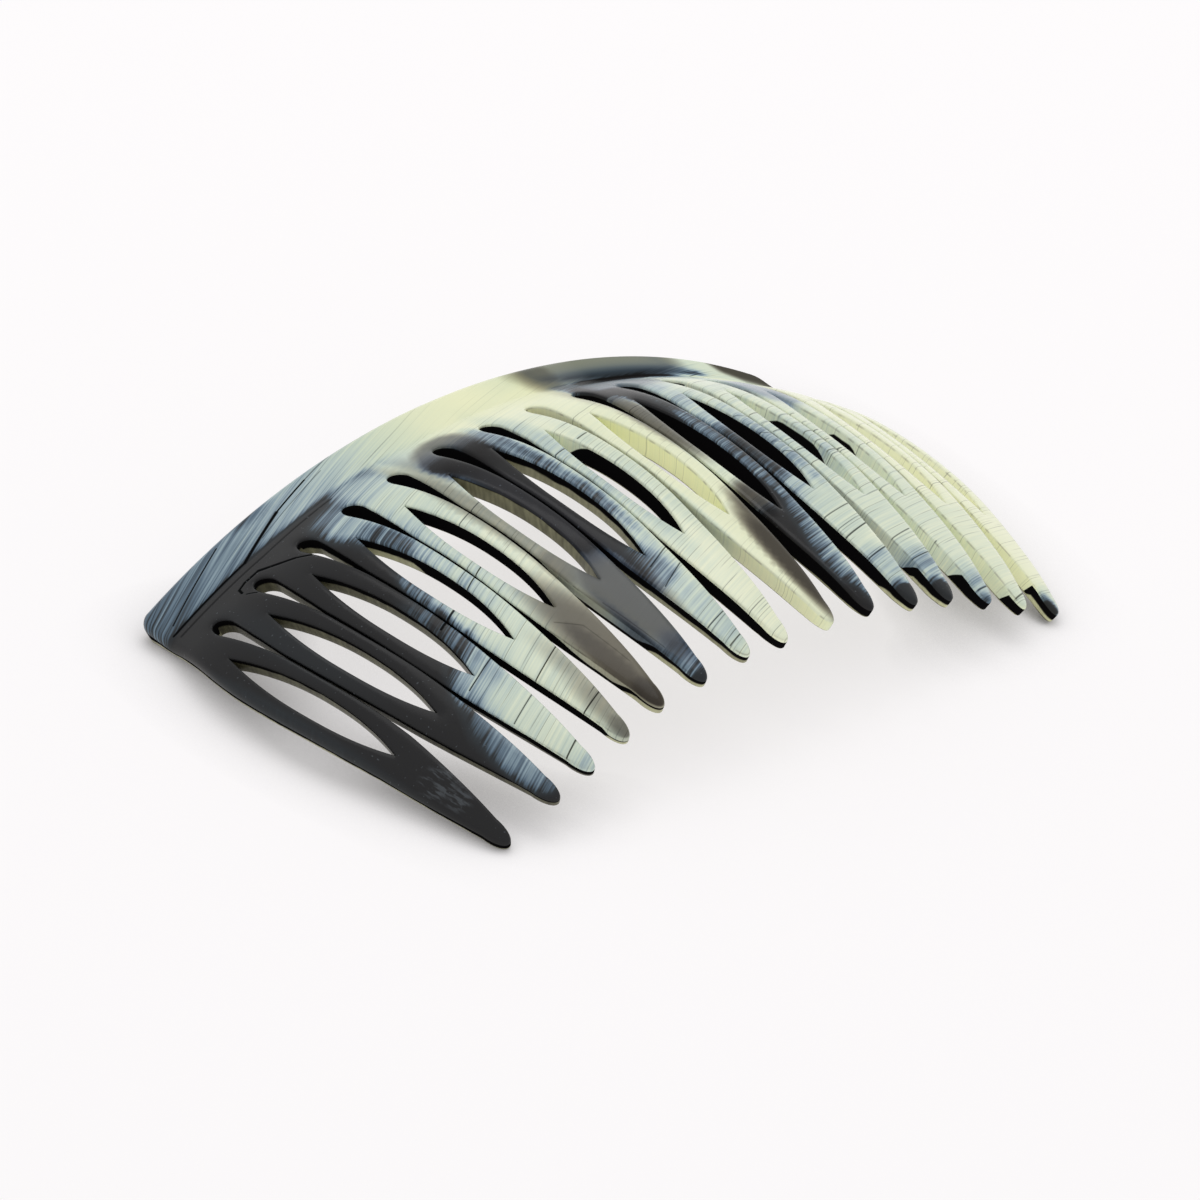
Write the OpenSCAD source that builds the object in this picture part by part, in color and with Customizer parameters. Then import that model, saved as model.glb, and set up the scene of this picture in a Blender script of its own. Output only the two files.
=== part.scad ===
/* [Body] */
// Number of teeth, an odd number so that one stands in the middle
tooth_count = 15; // [9:2:15]
// Radius of the arch on the outer face, at the level of the slot tops
arch_r = 87; // [80:0.5:100]
// Angle between neighbouring teeth round the arch, in degrees
pitch_angle = 4.48; // [4.4:0.01:4.6]
// Length of a tooth along its curve, from the slot tops to the tip
tooth_len = 48; // [44:0.5:52]
// Height of the solid back above the slot tops
back_h = 9.5; // [8:0.5:12]
// Distance of the groove above the slot tops
groove_h = 3.8; // [3:0.1:4.5]

/* [Thickness] */
// Thickness of the plate at the slot tops
plate_t = 2.5; // [2:0.1:3]
// Thickness of a tooth near its tip
tip_t = 1.8; // [1.4:0.1:2.2]
// Thickness of the back, whose free edge is round
back_t = 3.4; // [3:0.1:4]
// Slope of the back's outer band, which rises away from the groove, in degrees
band_slope = 9.5; // [6:0.5:12]

/* [Slots and eyes] */
// Half width of a slot at its drop-shaped head, as a share of the pitch
slot_head = 0.16; // [0.1:0.01:0.18]
// Half width of the saw cut between two teeth, as a share of the pitch
slot_cut = 0.022; // [0.02:0.001:0.03]
// Half width of an eye at its widest, as a share of the pitch
eye_half = 0.235; // [0.18:0.005:0.25]
// Half width of a tooth where its tip starts to round, as a share of the pitch
tip_half = 0.2; // [0.15:0.01:0.25]

/* [Hidden] */
horn = [0.80, 0.82, 0.72];

// Slope of the outer face towards the axis of the arch.
// Columns: share of the tooth's length from the slot tops, slope in degrees
SLOPE = [[-0.1, -12.7], [0, -12.7], [0.2, 4.6], [0.4, 10.6], [0.6, 18], [0.8, 22], [1, 30.8]];

// What sets one hand-cut tooth apart from the next, from the left end to the right end.
// Columns: sideways lean of the tip as a share of the pitch, start and end of the eye
// as shares of the tooth's length
TEETH = [
    [-0.12, 0.118, 0.640],
    [0.12, 0.113, 0.645],
    [0.00, 0.115, 0.645],
    [-0.04, 0.120, 0.635],
    [-0.07, 0.142, 0.630],
    [-0.07, 0.122, 0.642],
    [-0.04, 0.112, 0.642],
    [-0.18, 0.135, 0.632],
    [-0.12, 0.130, 0.625],
    [-0.04, 0.122, 0.645],
    [0.08, 0.130, 0.605],
    [0.00, 0.125, 0.630],
    [0.02, 0.120, 0.630],
    [-0.04, 0.120, 0.635],
    [0.03, 0.118, 0.635],
];
LEAN = 0;
EYE_START = 1;
EYE_END = 2;

// Outline of the comb's two ends, measured outwards from the middle of the last tooth.
// Columns: share of the tooth's length from the slot tops, offset as a share of the pitch
END_EDGE = [[-0.2, 0.05], [0, 0.2], [0.08, 0.32], [0.16, 0.42], [0.24, 0.465], [0.32, 0.478]];

// Where the parts of a slot begin and end, as shares of the tooth's length
head_end = 0.045;
taper_end = 0.25;
open_start = 0.45;
round_start = 0.94;
lean_start = 0.3;
// Bend of the taper below a slot's head, and fullness of an eye's two halves
taper_bend = 1.3;
eye_upper = 2;
eye_lower = 2.6;
// Rounding of the back's corners and of the tips in the section
corner_r = 2;
tip_round = 0.9;
// Stretch by which the slots run out past the tips
past = 3;
// Radii between which the slots and eyes are cut, as shares of the arch's radius
cut_from = 0.7;
cut_to = 1.1;

middle = (tooth_count - 1) / 2;
pitch_rad = pitch_angle * PI / 180;
half_span = pitch_angle * (middle + 0.6);
first_row = (len(TEETH) - tooth_count) / 2;

// A table whose first column rises, read with straight lines between its rows
function read(table, x, i = 0) =
    x <= table[0][0] ? table[0][1]
    : i >= len(table) - 1 ? table[len(table) - 1][1]
    : x > table[i + 1][0] ? read(table, x, i + 1)
    : table[i][1]
        + (table[i + 1][1] - table[i][1]) * (x - table[i][0]) / (table[i + 1][0] - table[i][0]);

// The outer face in section, summed in short steps from the slot tops
step_v = 0.02;
function reach(v, done = 0) =
    abs(v - done) < step_v / 100 ? [0, 0]
    : let (
        step = abs(v - done) < step_v ? v - done : step_v * sign(v - done),
        slope = read(SLOPE, done + step / 2)
    )
    step * tooth_len * [sin(slope), cos(slope)] + reach(v, done + step);
function outer_r(v) = arch_r - reach(v)[0];
function along(v) = reach(v)[1];

// A point of the section at the share v, raised by h above the outer face.
// x is the distance from the axis of the arch, y runs towards the tips.
function section_point(v, h) =
    let (slope = read(SLOPE, v))
    [outer_r(v) + h * cos(slope), along(v) + h * sin(slope)];

// Quarter of an ellipse about a centre, from one half axis to the other
function quarter(centre, from, to, steps) =
    [for (i = [0:steps]) centre + from * cos(90 * i / steps) + to * sin(90 * i / steps)];

// The back: a band that rises from the groove to a round free edge
groove_v = -groove_h / tooth_len;
groove = section_point(groove_v, 0);
band = groove + (back_h - groove_h) * [sin(band_slope), -cos(band_slope)];
edge_round = back_t * 0.4;
edge_mid = band + [-back_t / 2, edge_round];
edge_out = [back_t / 2, 0];
edge_back = [0, -edge_round];
// Share of the two half axes at the chamfer on the hollow side of the free edge
edge_chamfer = 0.7;
// Where the band's foot meets it, from the groove's deepest point
band_foot = [0.25, -0.8];

// The tip: a round nose on a thin tooth
tip_slope = read(SLOPE, 1);
nose_way = [-sin(tip_slope), cos(tip_slope)];
nose_out = [cos(tip_slope), sin(tip_slope)] * tip_t / 2;
nose_v = 1 - tip_round / tooth_len;
nose_mid = section_point(nose_v, -tip_t / 2);

function plate_at(v) = plate_t + (tip_t - plate_t) * v;
// Stations of the two faces. They stay off the plan's stations, so that no edges coincide.
OUTER_SHARES = [-0.045, 0.015, 0.065, 0.115, 0.175, 0.265, 0.365, 0.475, 0.585, 0.695, 0.795, 0.885];
INNER_SHARES = [0.9, 0.78, 0.66, 0.54, 0.42, 0.32, 0.22, 0.14, 0.06];

section = concat(
    quarter(edge_mid, edge_back, edge_out, 3),
    [groove + band_foot, groove],
    [for (v = OUTER_SHARES) section_point(v, 0)],
    quarter(nose_mid, nose_out, nose_way * tip_round, 3),
    [nose_mid - nose_out],
    [for (v = INNER_SHARES) section_point(v, -plate_at(v))],
    [edge_mid - edge_out, edge_mid + (edge_back - edge_out) * edge_chamfer]
);

// Plan outline, as shares of the pitch
function slot_half(v) =
    v < head_end ? slot_head * sqrt(1 - pow((head_end - v) / head_end, 2))
    : v < taper_end ? slot_cut + (slot_head - slot_cut)
        * pow((taper_end - v) / (taper_end - head_end), taper_bend)
    : v < open_start ? slot_cut
    : v < round_start ? slot_cut + (0.5 - tip_half - slot_cut)
        * pow((v - open_start) / (round_start - open_start), 2)
    : 0.5 - tip_half * sqrt(1 - pow((v - round_start) / (1 - round_start), 2));
function eye_share(s) = 1 - pow(abs(2 * s - 1), s < 0.5 ? eye_upper : eye_lower);
function row(k) = TEETH[k + first_row];
function lean(k, v) = row(k)[LEAN] * pow(max(0, v - lean_start) / (1 - lean_start), 2);

// A point of the plan in mm, side pitches off the middle of the tooth k.
// Seen along the radius at the position from, in pitches from the first tooth.
function plan(k, v, side, from) =
    [(k - from + side + lean(k, v)) * pitch_rad * outer_r(v), -along(v)];

// Stations of the plan's edges, and steps of an eye's side
HEAD_SHARES = [for (a = [0:18:90]) head_end * (1 - cos(a))];
TAPER_SHARES = [0.08, 0.13, 0.19, taper_end];
OPEN_SHARES = [open_start, 0.54, 0.62, 0.69, 0.75, 0.81, 0.87, 0.91];
ROUND_SHARES = [for (a = [0:18:72]) round_start + (1 - round_start) * sin(a)];
EYE_STEPS = [1:8];

function reversed(list) = [for (i = [len(list) - 1:-1:0]) list[i]];

// A list with its last point repeated past the tips
function run_out(list) = concat(list, [[list[len(list) - 1].x, -tooth_len - past]]);

// Edge of the tooth k from a slot's head to past the tip, way 1 on its right, -1 on its left
function tooth_edge(k, way, from, shares) =
    run_out([for (v = shares) plan(k, v, way * (0.5 - slot_half(v)), from)]);

// The comb's outer edge on the first tooth, from the back's round corner to the tip
function end_half(v) = v < open_start ? read(END_EDGE, v) : 0.5 - slot_half(v);
END_SHARES = concat([for (r = END_EDGE) if (r[0] >= 0) r[0]], OPEN_SHARES, ROUND_SHARES);
corner_v = -(back_h - corner_r) / tooth_len;

module along_radius(position) {
    rotate([0, (position - middle) * pitch_angle, 0])
        translate([0, 0, arch_r * cut_from])
            linear_extrude(arch_r * (cut_to - cut_from))
                children();
}

module slot(k) {
    from = k + 0.5;
    shares = concat(HEAD_SHARES, TAPER_SHARES, OPEN_SHARES, ROUND_SHARES);
    head = [for (i = [1:len(shares) - 1]) shares[i]];
    along_radius(from)
        polygon(concat(
            tooth_edge(k, 1, from, shares),
            reversed(tooth_edge(k + 1, -1, from, head))
        ));
}

module eye(k) {
    start = row(k)[EYE_START];
    length = row(k)[EYE_END] - start;
    last = EYE_STEPS[2] + 1;
    along_radius(k)
        polygon(concat(
            [plan(k, start, 0, k)],
            [for (i = EYE_STEPS) plan(k, start + length * i / last, eye_half * eye_share(i / last), k)],
            [plan(k, start + length, 0, k)],
            [for (i = reversed([for (j = EYE_STEPS) j]))
                plan(k, start + length * i / last, -eye_half * eye_share(i / last), k)]
        ));
}

// What lies outside an end of the comb: way is -1 for the left end and 1 for the right one
module end_waste(k, way) {
    corner = plan(k, corner_v, way * end_half(corner_v), k);
    outside = way * 2 * pitch_rad * arch_r;
    inwards = [-way * corner_r, 0];
    along_radius(k)
        polygon(concat(
            [[outside, corner_r + back_h], [corner.x + inwards.x, corner_r + back_h]],
            quarter(corner + inwards, [0, corner_r], -inwards, 4),
            run_out([for (v = END_SHARES) plan(k, v, way * end_half(v), k)]),
            [[outside, -tooth_len - past]]
        ));
}

module blank() {
    rotate([90, 0, 0])
        rotate([0, 0, 90 - half_span])
            rotate_extrude(angle = 2 * half_span, $fn = 360)
                polygon(section);
}

// The comb lies hollow side down, on the corners of its back and on its two outer tips.
// The tilt about the long axis brings them level.
function end_angle(v, way) =
    pitch_angle * (middle + end_half(v) + way * lean(way < 0 ? 0 : tooth_count - 1, v));
back_foot = edge_mid - edge_out;
back_angle = end_angle(corner_v, -1);
tip_foot = nose_mid - nose_out;
tip_angle = (end_angle(nose_v, -1) + end_angle(nose_v, 1)) / 2;
tilt = -atan(
    (back_foot.x * cos(back_angle) - tip_foot.x * cos(tip_angle)) / (tip_foot.y - back_foot.y)
);

// A section point at an angle of the arch, as it lies: [place from tips to back, height]
function laid(p, angle) = [
    -p.y * cos(tilt) - p.x * cos(angle) * sin(tilt),
    p.x * cos(angle) * cos(tilt) - p.y * sin(tilt)
];
last_v = ROUND_SHARES[len(ROUND_SHARES) - 1];
function end_share(p) = min(last_v, p.y / along(1));
floor_z = min([for (way = [-1, 1]) for (p = section) laid(p, end_angle(end_share(p), way)).y]);
back_y = max([for (p = section) laid(p, 0).x]);
front_y = min([for (p = section) laid(p, tip_angle).x]);

module comb() {
    color(horn)
        translate([0, -(front_y + back_y) / 2, -floor_z])
            rotate([tilt, 0, 0])
                difference() {
                    blank();
                    for (k = [0:tooth_count - 2]) slot(k);
                    for (k = [0:tooth_count - 1]) eye(k);
                    end_waste(0, -1);
                    end_waste(tooth_count - 1, 1);
                }
}

comb();
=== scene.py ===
from functools import reduce
from math import atan, cos, pi, radians, sin, sqrt

import bpy
import numpy as np
from mathutils import Matrix, Vector
from mathutils.geometry import delaunay_2d_cdt
from mathutils.kdtree import KDTree


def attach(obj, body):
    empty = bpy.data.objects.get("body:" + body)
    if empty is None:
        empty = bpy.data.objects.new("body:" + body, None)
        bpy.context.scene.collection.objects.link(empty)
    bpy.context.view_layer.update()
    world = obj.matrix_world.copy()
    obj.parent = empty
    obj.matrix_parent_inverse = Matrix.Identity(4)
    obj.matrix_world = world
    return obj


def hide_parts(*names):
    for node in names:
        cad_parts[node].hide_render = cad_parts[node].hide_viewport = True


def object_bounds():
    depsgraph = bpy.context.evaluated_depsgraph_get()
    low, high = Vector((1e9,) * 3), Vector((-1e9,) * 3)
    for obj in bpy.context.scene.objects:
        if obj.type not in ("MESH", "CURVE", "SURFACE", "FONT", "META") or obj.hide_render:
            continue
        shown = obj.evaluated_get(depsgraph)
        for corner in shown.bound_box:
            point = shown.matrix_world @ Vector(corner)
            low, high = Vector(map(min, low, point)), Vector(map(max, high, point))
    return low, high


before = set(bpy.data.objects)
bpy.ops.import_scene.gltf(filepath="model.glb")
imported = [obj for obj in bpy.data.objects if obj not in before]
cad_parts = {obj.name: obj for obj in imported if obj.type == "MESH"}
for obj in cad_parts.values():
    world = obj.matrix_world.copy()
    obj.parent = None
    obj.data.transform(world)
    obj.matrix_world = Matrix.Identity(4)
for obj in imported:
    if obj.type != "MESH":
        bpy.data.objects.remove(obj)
cad_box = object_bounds()

MM = 0.001

# Driving sizes of the comb, in millimetres, as in the part's source
TOOTH_COUNT = 15
ARCH_R = 87.0
PITCH = radians(4.48)
TOOTH_LEN = 48.0
BACK_H = 9.5
GROOVE_H = 3.8
PLATE_T = 2.5
TIP_T = 1.8
BACK_T = 3.4
BAND_SLOPE = radians(9.5)
CORNER_R = 2.0

# Half widths of the slots, eyes and teeth, as shares of the pitch
SLOT_HEAD = 0.16
SLOT_CUT = 0.022
EYE_HALF = 0.235
TIP_HALF = 0.2

# Where the parts of a slot begin and end, as shares of the tooth's length
HEAD_END = 0.045
TAPER_END = 0.25
OPEN_START = 0.45
ROUND_START = 0.94
LEAN_START = 0.3
TAPER_BEND = 1.3
EYE_UPPER = 2.0
EYE_LOWER = 2.6

# Slope of the outer face towards the axis of the arch
# Columns: share of the tooth's length from the slot tops, slope in degrees
SLOPE = np.array([
    (-0.1, -12.7), (0.0, -12.7), (0.2, 4.6), (0.4, 10.6), (0.6, 18.0), (0.8, 22.0), (1.0, 30.8),
])

# What sets one hand-cut tooth apart from the next, from the left end to the right end
# Columns: sideways lean of the tip and of the eye's two ends in pitches, then the eye's start,
# the eye's end and the tip as shares of the tooth's length
TEETH = np.array([
    (-0.09, 0.03, 0.03, 0.128, 0.642, 0.984),
    (0.13, 0.02, 0.05, 0.123, 0.646, 1.0),
    (0.0, 0.0, -0.02, 0.13, 0.644, 1.006),
    (-0.07, -0.02, -0.04, 0.131, 0.641, 1.003),
    (-0.12, -0.03, -0.08, 0.142, 0.637, 0.994),
    (-0.09, -0.02, -0.08, 0.135, 0.64, 0.998),
    (-0.03, -0.03, -0.07, 0.126, 0.645, 0.997),
    (-0.15, -0.03, -0.13, 0.145, 0.633, 1.004),
    (0.0, -0.03, -0.08, 0.14, 0.625, 1.001),
    (0.04, -0.03, -0.05, 0.136, 0.65, 0.993),
    (0.13, 0.0, 0.0, 0.138, 0.602, 0.996),
    (0.07, 0.0, 0.0, 0.133, 0.63, 0.99),
    (0.09, 0.0, 0.0, 0.128, 0.63, 0.991),
    (0.05, 0.0, 0.0, 0.128, 0.635, 0.991),
    (0.03, 0.0, 0.0, 0.127, 0.635, 0.98),
])
TIP_LEAN, EYE_LEAN_1, EYE_LEAN_2, EYE_START, EYE_END, TIP_END = range(6)

# Outline of the comb's two ends, outwards from the middle of the last tooth
# Columns: share of the tooth's length, offset in pitches
END_EDGE = np.array([
    (-0.2, 0.05), (0.0, 0.2), (0.08, 0.32), (0.16, 0.42), (0.24, 0.465), (0.32, 0.478), (0.45, 0.478),
])

# Rounding of the polished edges, in millimetres
# Columns: reach on the face, drop below the outer face, rise above the hollow face
CUT_ROUND = np.array((0.20, 0.24, 0.20))
TIP_ROUND = np.array((0.45, 0.45, 0.25))
END_ROUND = np.array((0.85, 1.05, 0.20))
BACK_ROUND = np.array((1.36, 1.60, 0.40))
# The faces swell a little between their edges
SWELL_DROP = 0.09
SWELL_REACH = 1.5

# The horn is a little stouter on the right, from the middle tooth on
STOUT_SHARE = 0.17
STOUT_FROM = (-0.9, -0.4)
STOUT_TO = (6.3, 6.7)
STOUT_TIP = (0.92, 0.99)

MIDDLE = (TOOTH_COUNT - 1) / 2
FLAT_R = 80.0
GROOVE_V = -GROOVE_H / TOOTH_LEN
FOOT_V = 0.98
BACK_V = -BACK_H / TOOTH_LEN
INNER_LINE_V = 0.06


# The section of the comb: distances from the arch's axis and along it

def read_off(table, x):
    """Second column of a table at x in its first one, straight between the rows."""
    return np.interp(x, table[:, 0], table[:, 1])


TABLE_STEP = 0.001
TABLE_SPAN = (-0.25, 1.031)
table_v = np.arange(*TABLE_SPAN, TABLE_STEP)
table_slope = np.radians(read_off(SLOPE, table_v))


def summed(rates):
    """Running sum of a rate along the section, zero at the slot tops."""
    steps = (rates[1:] + rates[:-1]) / 2 * TOOTH_LEN * TABLE_STEP
    total = np.concatenate([[0], np.cumsum(steps)])
    return total - np.interp(0, table_v, total)


table_r = ARCH_R - summed(np.sin(table_slope))
table_a = summed(np.cos(table_slope))


def offset_point(v, h):
    """Radius and length at the share v of a tooth, h above its outer face."""
    slope = np.interp(v, table_v, table_slope)
    return np.stack([
        np.interp(v, table_v, table_r) + h * np.cos(slope),
        np.interp(v, table_v, table_a) + h * np.sin(slope),
    ], -1)


groove_point = offset_point(GROOVE_V, 0)
back_rise = (BACK_H - GROOVE_H) * np.array([sin(BAND_SLOPE), -cos(BAND_SLOPE)])
back_outer = groove_point + back_rise
back_inner = back_outer - (BACK_T, 0)
line_inner = offset_point(INNER_LINE_V, -(PLATE_T + (TIP_T - PLATE_T) * INNER_LINE_V))


def outer_point(v):
    """Section of the outer face: the teeth, and the band that rises from the groove."""
    v = np.asarray(v, float)
    share = np.clip((GROOVE_V - v) / (GROOVE_V - BACK_V), 0, None)[..., None]
    return np.where(share > 0, groove_point + share * back_rise, offset_point(v, 0))


def inner_point(v):
    """Section of the hollow face."""
    v = np.asarray(v, float)
    share = np.clip((INNER_LINE_V - v) / (INNER_LINE_V - BACK_V), 0, None)[..., None]
    plate = offset_point(v, -(PLATE_T + (TIP_T - PLATE_T) * v))
    return np.where(share > 0, line_inner + share * (back_inner - line_inner), plate)


def thickness(v):
    return np.linalg.norm(outer_point(v) - inner_point(v), axis=-1)


# The comb lies hollow side down on the corners of its back and on its two outer tips

def end_angle(v, way):
    """Angle of the comb's end, way -1 at the left end and 1 at the right one."""
    half = read_off(END_EDGE, v) if v < OPEN_START else TIP_HALF
    tooth = 0 if way < 0 else TOOTH_COUNT - 1
    return PITCH * (MIDDLE + half + way * TEETH[tooth, TIP_LEAN] * (v > OPEN_START))


BACK_FOOT_SHARE = 0.4
back_foot = back_inner + (0, BACK_T * BACK_FOOT_SHARE)
back_angle = end_angle(BACK_V + CORNER_R / TOOTH_LEN, -1)
tip_foot = offset_point(FOOT_V, -TIP_T)
tip_angle = (end_angle(FOOT_V, -1) + end_angle(FOOT_V, 1)) / 2
tilt = -atan(
    (back_foot[0] * cos(back_angle) - tip_foot[0] * cos(tip_angle)) / (tip_foot[1] - back_foot[1])
)


def laid(u, v, share):
    """Points in the row frame before the last shift: u in pitches from the middle, v along a
    tooth, share 0 on the outer face and 1 on the hollow one."""
    share = np.asarray(share, float)[..., None]
    p = outer_point(v) * (1 - share) + inner_point(v) * share
    r, a = p[..., 0], p[..., 1]
    up = r * np.cos(u * PITCH)
    return np.stack([
        r * np.sin(u * PITCH),
        -a * cos(tilt) - up * sin(tilt),
        up * cos(tilt) - a * sin(tilt),
    ], -1)


# The outlines, as rows of u in pitches from the middle and v along the teeth

def smooth(low, high, x):
    t = np.clip((np.asarray(x, float) - low) / (high - low), 0, 1)
    return t * t * (3 - 2 * t)


def slot_half(v, tip):
    """Half width of a slot at v, beside a tooth that ends at tip."""
    v = np.asarray(v, float)
    head = SLOT_HEAD * np.sqrt(1 - np.clip((HEAD_END - v) / HEAD_END, 0, 1) ** 2)
    taper_share = np.clip((TAPER_END - v) / (TAPER_END - HEAD_END), 0, 1)
    taper = SLOT_CUT + (SLOT_HEAD - SLOT_CUT) * taper_share ** TAPER_BEND
    start = tip - (1 - ROUND_START)
    open_share = np.clip((v - OPEN_START) / (start - OPEN_START), 0, 1)
    opening = SLOT_CUT + (0.5 - TIP_HALF - SLOT_CUT) * open_share ** 2
    nose = 0.5 - TIP_HALF * np.sqrt(1 - np.clip((v - start) / (tip - start), 0, 1) ** 2)
    return np.where(v < HEAD_END, head, np.where(v < OPEN_START, taper, np.where(v < start, opening, nose)))


def lean(k, v):
    """Sideways shift of the tooth k at v, in pitches."""
    row = TEETH[k]
    v = np.asarray(v, float)
    eye_share = (v - row[EYE_START]) / (row[EYE_END] - row[EYE_START])
    eye = row[EYE_LEAN_1] + (row[EYE_LEAN_2] - row[EYE_LEAN_1]) * np.clip(eye_share, 0, 1)
    to_tip = np.clip((v - row[EYE_END]) / (row[TIP_END] - row[EYE_END]), 0, 1)
    body = smooth(LEAN_START, row[EYE_END], v)
    return body * (eye + (row[TIP_LEAN] - row[EYE_LEAN_2]) * to_tip)


# Points along the outlines: turns of a slot's head, of a tip and of the back's corner in degrees,
# then how many points the straighter parts get, and the gaps between the parts in shares of v
HEAD_TURNS = range(0, 91, 10)
TIP_TURNS = range(0, 91, 6)
CORNER_TURNS = range(0, 90, 8)
SIDE_POINTS = 62
SIDE_START = 0.06
SIDE_GAP = 0.012
END_POINTS = 52
END_STOP = 0.44
END_GAP = 0.01
END_SOFTENING = 9
EYE_POINTS = 44
BACK_POINTS = 190
# Shares of the length between which the rounding of a side turns into the tip's
END_TO_TIP = (0.7, 0.97)
CUT_TO_TIP = (0.85, 0.99)


def stations(tip):
    """Shares of the length at which a tooth's edge has its points, from the slot's head to the tip."""
    head = [HEAD_END * (1 - cos(radians(a))) for a in HEAD_TURNS]
    start = tip - (1 - ROUND_START)
    long_part = list(np.linspace(SIDE_START, start - SIDE_GAP, SIDE_POINTS))
    nose = [start + (tip - start) * sin(radians(a)) for a in TIP_TURNS]
    return np.array(head + long_part + nose)


def tooth_side(k, way):
    """One edge of the tooth k from its slot's head to its tip, way -1 on its left."""
    v = stations(TEETH[k, TIP_END])
    u = k - MIDDLE + lean(k, v) + way * (0.5 - slot_half(v, TEETH[k, TIP_END]))
    return np.stack([u, v], -1)


def end_side(k, way):
    """The comb's own edge on its first or last tooth, from the back's corner to the tip."""
    tip = TEETH[k, TIP_END]
    v = np.concatenate([np.linspace(BACK_V + CORNER_R / TOOTH_LEN, END_STOP, END_POINTS),
                        stations(tip)[stations(tip) > END_STOP + END_GAP]])
    table = read_off(END_EDGE, v)
    kernel = np.ones(END_SOFTENING) / END_SOFTENING
    beyond = END_SOFTENING // 2
    padded = np.concatenate([2 * table[0] - table[beyond:0:-1], table, [table[-1]] * beyond])
    soft = np.where(v < OPEN_START, np.convolve(padded, kernel, "valid"), 0.5 - slot_half(v, tip))
    return np.stack([k - MIDDLE + lean(k, v) + way * soft, v], -1)


def corner(edge_point, way):
    """The back's rounded corner, from its free edge to the comb's end."""
    turn = np.radians(CORNER_TURNS)
    wide = CORNER_R / (PITCH * ARCH_R)
    high = CORNER_R / TOOTH_LEN
    u = edge_point[0] - way * wide * (1 - np.sin(turn))
    v = edge_point[1] - high * np.cos(turn)
    return np.stack([u, v], -1)


def eye_loop(k):
    row = TEETH[k]
    s = (1 - np.cos(np.linspace(0, pi, EYE_POINTS))) / 2
    half = EYE_HALF * (1 - np.abs(2 * s - 1) ** np.where(s < 0.5, EYE_UPPER, EYE_LOWER))
    v = row[EYE_START] + (row[EYE_END] - row[EYE_START]) * s
    middle = k - MIDDLE + row[EYE_LEAN_1] + (row[EYE_LEAN_2] - row[EYE_LEAN_1]) * s
    right = np.stack([middle + half, v], -1)
    left = np.stack([middle - half, v], -1)
    return np.concatenate([right[:-1], left[:0:-1]])


def blend_rounds(a, b, t):
    t = np.asarray(t, float)[:, None]
    return a * (1 - t) + b * t


def outline_and_rounds():
    """The comb's outer outline, its rounding and its tooth at each point, the material on its left."""
    last = TOOTH_COUNT - 1
    points, rounds, teeth = [], [], []

    def add(rows, radii, tooth):
        points.append(rows)
        rounds.append(radii)
        teeth.append(np.full(len(rows), tooth))

    left, right = end_side(0, -1), end_side(last, 1)
    turned = corner(left[0], -1)
    add(turned, blend_rounds(BACK_ROUND, END_ROUND, np.linspace(0, 1, len(turned))), 0)
    add(left, blend_rounds(END_ROUND, TIP_ROUND, smooth(*END_TO_TIP, left[:, 1])), 0)
    for k in range(TOOTH_COUNT):
        if k > 0:
            side = tooth_side(k, -1)[1:]
            add(side, blend_rounds(CUT_ROUND, TIP_ROUND, smooth(*CUT_TO_TIP, side[:, 1])), k)
        if k < last:
            side = tooth_side(k, 1)[::-1][1:]
            add(side, blend_rounds(CUT_ROUND, TIP_ROUND, smooth(*CUT_TO_TIP, side[:, 1])), k)
    side = right[::-1][1:]
    add(side, blend_rounds(END_ROUND, TIP_ROUND, smooth(*END_TO_TIP, side[:, 1])), last)
    turned = corner(right[0], 1)[::-1]
    add(turned, blend_rounds(END_ROUND, BACK_ROUND, np.linspace(0, 1, len(turned))), last)
    start, stop = turned[-1, 0], corner(left[0], -1)[0, 0]
    u = np.linspace(start, stop, BACK_POINTS)[1:-1]
    add(np.stack([u, np.full_like(u, BACK_V)], -1), np.repeat(BACK_ROUND[None], len(u), 0), BACK_WALL)
    return np.concatenate(points), np.concatenate(rounds), np.concatenate(teeth)


def flat(uv):
    """Plan in millimetres, x along the arch at its middle radius and y towards the back."""
    return np.stack([uv[..., 0] * PITCH * FLAT_R, -uv[..., 1] * TOOTH_LEN], -1)


def width_scale(v):
    return outer_point(v)[..., 0] / FLAT_R


# The mesh between the outlines, in millimetres unless stated
# How many outline points are looked at round a point, and a length that counts as none
NEAR_POINTS = 5
NO_LENGTH = 1e-12
INSIDE_PART = 800
# Rows along a rounding, the fewer where it is narrow, and one more beyond it
FEW_ROWS, MANY_ROWS = 3, 6
NARROW_ROUND = 0.5
BEYOND_ROUND = 0.4
FAN_TURN = radians(22)
# Share of its distance that a point keeps from the other outlines
KEPT_GAP = 0.97
# The grid of the faces, its distance from the groove and from the roundings
GRID_SPACING = 0.75
GROOVE_CLEAR = 1.0
ROUND_CLEAR = 0.55
# Rows along the groove, and the share of the grid's spacing along them
GROOVE_ROWS = (-0.8, -0.4, -0.15, 0, 0.15, 0.4, 0.8)
GROOVE_SPACING = 0.8
MERGE_DISTANCE = 1e-6


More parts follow.
